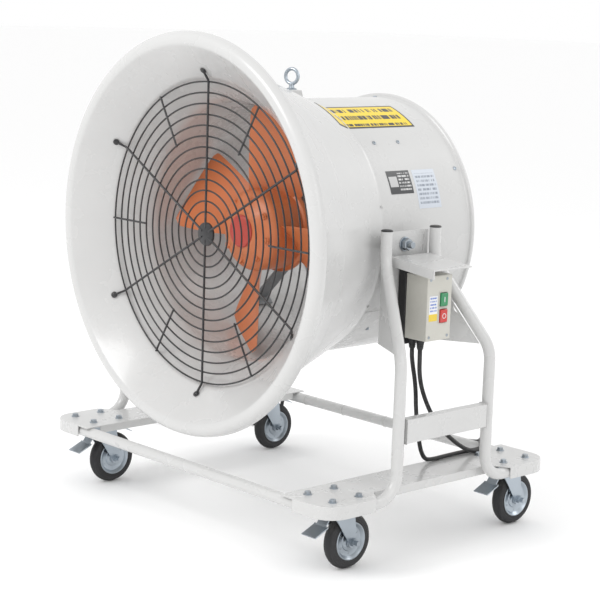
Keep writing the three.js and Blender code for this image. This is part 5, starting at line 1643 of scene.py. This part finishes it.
@dataclass
class SwitchBox:
    """The shelf and the switch box under it.

    Args:
        face: distance out of the cover's face.
        button_y: distance along of the two buttons.
        on_z: height of the upper button.
        off_z: height of the lower one.
    """

    face: float = 474.0
    button_y: float = 13.0
    on_z: float = 594.0
    off_z: float = 556.0

    def card(self, name: str, low: Pair, high: Pair, finish: Finish, body: str, face: float,
             proud: float = 0.5) -> None:
        """A flat printed card on the cover's face with its own map."""
        (y0, z0), (y1, z1) = low, high
        shape = block((face - 0.2, y0, z0), (face + proud, y1, z1))
        mesh = mesh_of(name, shape, IN_TROLLEY, 30)
        chart = mesh.uv_layers.new(name="label")
        for loop in mesh.loops:
            p = mesh.vertices[loop.vertex_index].co
            u = ((p.y - PIVOT_Y) / MM - y0) / (y1 - y0)
            chart.data[loop.index].uv = (u, (p.z / MM - z0) / (z1 - z0))
        settle(linked(name, mesh), finish, body)

    def build(self) -> None:
        """Bracket, box, buttons, marks and labels."""
        dressed_copy("switch_bracket", "switch_shelf", POWDER_COAT, "trolley", 0.9)
        dressed_copy("switch_box_base", "switch_box_back", MOULDED_BLACK, "trolley", 2.2)
        dressed_copy("switch_box_cover", "switch_box_case", MOULDED_CASE, "trolley", 1.4)
        dressed_copy("switch_block", "switch_block_moulded", MOULDED_BLACK, "trolley", 1.0)
        dressed_copy("on_button", "on_key", GREEN_KEY, "on_button", 1.6)
        dressed_copy("off_button", "off_key", RED_KEY, "off_button", 1.6)
        key = self.face + 5
        stroke = block((key - 0.3, self.button_y - 1.2, self.on_z - 6),
                       (key + 0.3, self.button_y + 1.2, self.on_z + 6))
        piece("on_key_stroke", stroke, IN_TROLLEY, MARK_WHITE, "on_button", bevel=0.2)
        hoop = [Vector((key, self.button_y + 5.4 * math.cos(a), self.off_z + 5.4 * math.sin(a)))
                for a in [2 * math.pi * k / 32 for k in range(32)]]
        piece("off_key_ring", tube(hoop, 0.8, 8, closed=True), IN_TROLLEY, MARK_WHITE, "off_button", smooth=60)
        rim = []
        for z in (self.on_z, self.off_z):
            rim.append([Vector((self.face + 0.2, self.button_y + sy * 13.6, z + sz * 17.2))
                        for sy, sz in ((-1, -1), (1, -1), (1, 1), (-1, 1))])
        frames = Shape()
        for corners in rim:
            loop = []
            for a, b in zip(corners, [*corners[1:], corners[0]]):
                loop += [a.lerp(b, t) for t in (0.06, 0.5, 0.94)]
            frames += tube(loop, 1.3, 10, closed=True)
        piece("button_surrounds", frames, IN_TROLLEY, MOULDED_CASE, "trolley", smooth=50)
        self.card("switch_card", (-33, 546), (-6, 604), SWITCH_LABEL, "trolley", self.face)
        seats = [(Vector((self.face, y, z)), Vector((1, 0, 0))) for y, z in ((24, 641), (-30, 641), (-30, 509),
                 (30, 509))]
        Repeats.on_points("cover_screws", screw_head(3.6, 1.2), seats, IN_TROLLEY, ZINC, "trolley")


# ---------------------------------------------------------------- casters
@dataclass
class Caster:
    """One braked swivel caster and its bolts through the base plate.

    Args:
        end: "front" or "rear".
        side: "right" or "left".
        at: place of its swivel axis, out and along.
        trail: distance from the swivel axis back to the axle.
        radius: wheel radius.
    """

    end: str
    side: str
    at: Pair
    trail: float = 46.2
    radius: float = 65.0
    plate_top: float = 176.0

    def name(self, what: str) -> str:
        """A piece's name on this caster."""
        return f"{what}_{self.end}_{self.side}"

    def wheel(self) -> None:
        """Tyre, pressed rim and hub."""
        place = IN_TROLLEY @ Matrix.Translation((self.at[0], self.at[1] + self.trail, self.radius))
        body = self.name("wheel")
        r = self.radius
        tread = arc((r - 11, 0), 11, -50, 50, 10)
        tyre = [(44.3, -14), (46, -14.6), (48, -14.8), (49, -14.2), (50.4, -14.2), (52, -14.8),
                (r - 7, -13.4), (r - 4, -10.4), *[(a, b * 1.02) for a, b in tread], (r - 4, 10.4), (r - 7, 13.4),
                (52, 14.8), (50.4, 14.2), (49, 14.2), (48, 14.8), (46, 14.6), (44.3, 14)]
        tyre = [(min(a, r), b) for a, b in tyre]
        piece(self.name("tyre"), lathe(tyre, 64, ALONG_X), place, TYRE_RUBBER, body,
              (self.name("caster_tyre"),), smooth=25)
        rim = [(6.4, 18), (12.6, 18), (13.8, 17), (14, 12.2), (16, 11), (22, 10.4), (23.4, 8.4), (33.5, 7.6),
               (35.5, 8.4), (37, 10.2), (40, 13.6), (41.4, 14.9), (43.4, 14.9), (44, 14.2)]
        closed = [*rim, *[(a, -b) for a, b in reversed(rim)]]
        piece(self.name("rim"), lathe(closed, 64, ALONG_X), place, ZINC, body, (self.name("caster_rim"),),
              smooth=28)
        rivet = lathe([(0, 1.2), (1.9, 0.9), (2.5, 0), (2.5, -0.5), (0, -0.5)], 10, UPRIGHT)
        seats = []
        for way in (1, -1):
            for k in range(6):
                a = math.radians(60 * k + 30)
                seats.append((Vector((way * 7.9, 29 * math.cos(a), 29 * math.sin(a))), Vector((way, 0, 0))))
        Repeats.on_points(self.name("rim_rivets"), rivet, seats, place, ZINC, body)

    def build(self) -> None:
        """The whole caster."""
        dressed_copy(self.name("caster_plate"), self.name("top_plate"), ZINC, "trolley", 0.6)
        yoke = self.name("yoke")
        dressed_copy(self.name("caster_fork"), self.name("fork"), ZINC, yoke, 0.5)
        dressed_copy(self.name("brake_pedal"), self.name("pedal"), ZINC, self.name("pedal"), 0.5)
        self.wheel()
        place = IN_TROLLEY @ Matrix.Translation((self.at[0], self.at[1], 0))
        seats = [(Vector((dx, dy, self.plate_top)), Vector((0, 0, 1))) for dx in (-40, 40) for dy in (-40, 40)]
        seats = [(at, way) for at, way in seats
                 if abs(self.at[0] + at.x) < 517]
        Repeats.on_points(self.name("plate_bolts"), hex_bolt(13, 6.2, 10, 1.8), seats, place, ZINC, "trolley")


def main() -> None:
    """Builds the air mover in order."""
    logging.basicConfig(level=logging.INFO, format="%(name)s: %(message)s")
    Studio().build()
    Cords().build()
    bell = Bell()
    bell.build()
    Drum().build()
    Guards().build(bell)
    Rotor().build()
    Motor().build()
    LiftingEye().build()
    Pivots().build()
    Trolley().build()
    SwitchBox().build()
    for end, along in ENDS:
        for side, out in SIDES:
            Caster(end, side, (out * 443.0, along * 283.5)).build()


if __name__ == "__main__":
    main()
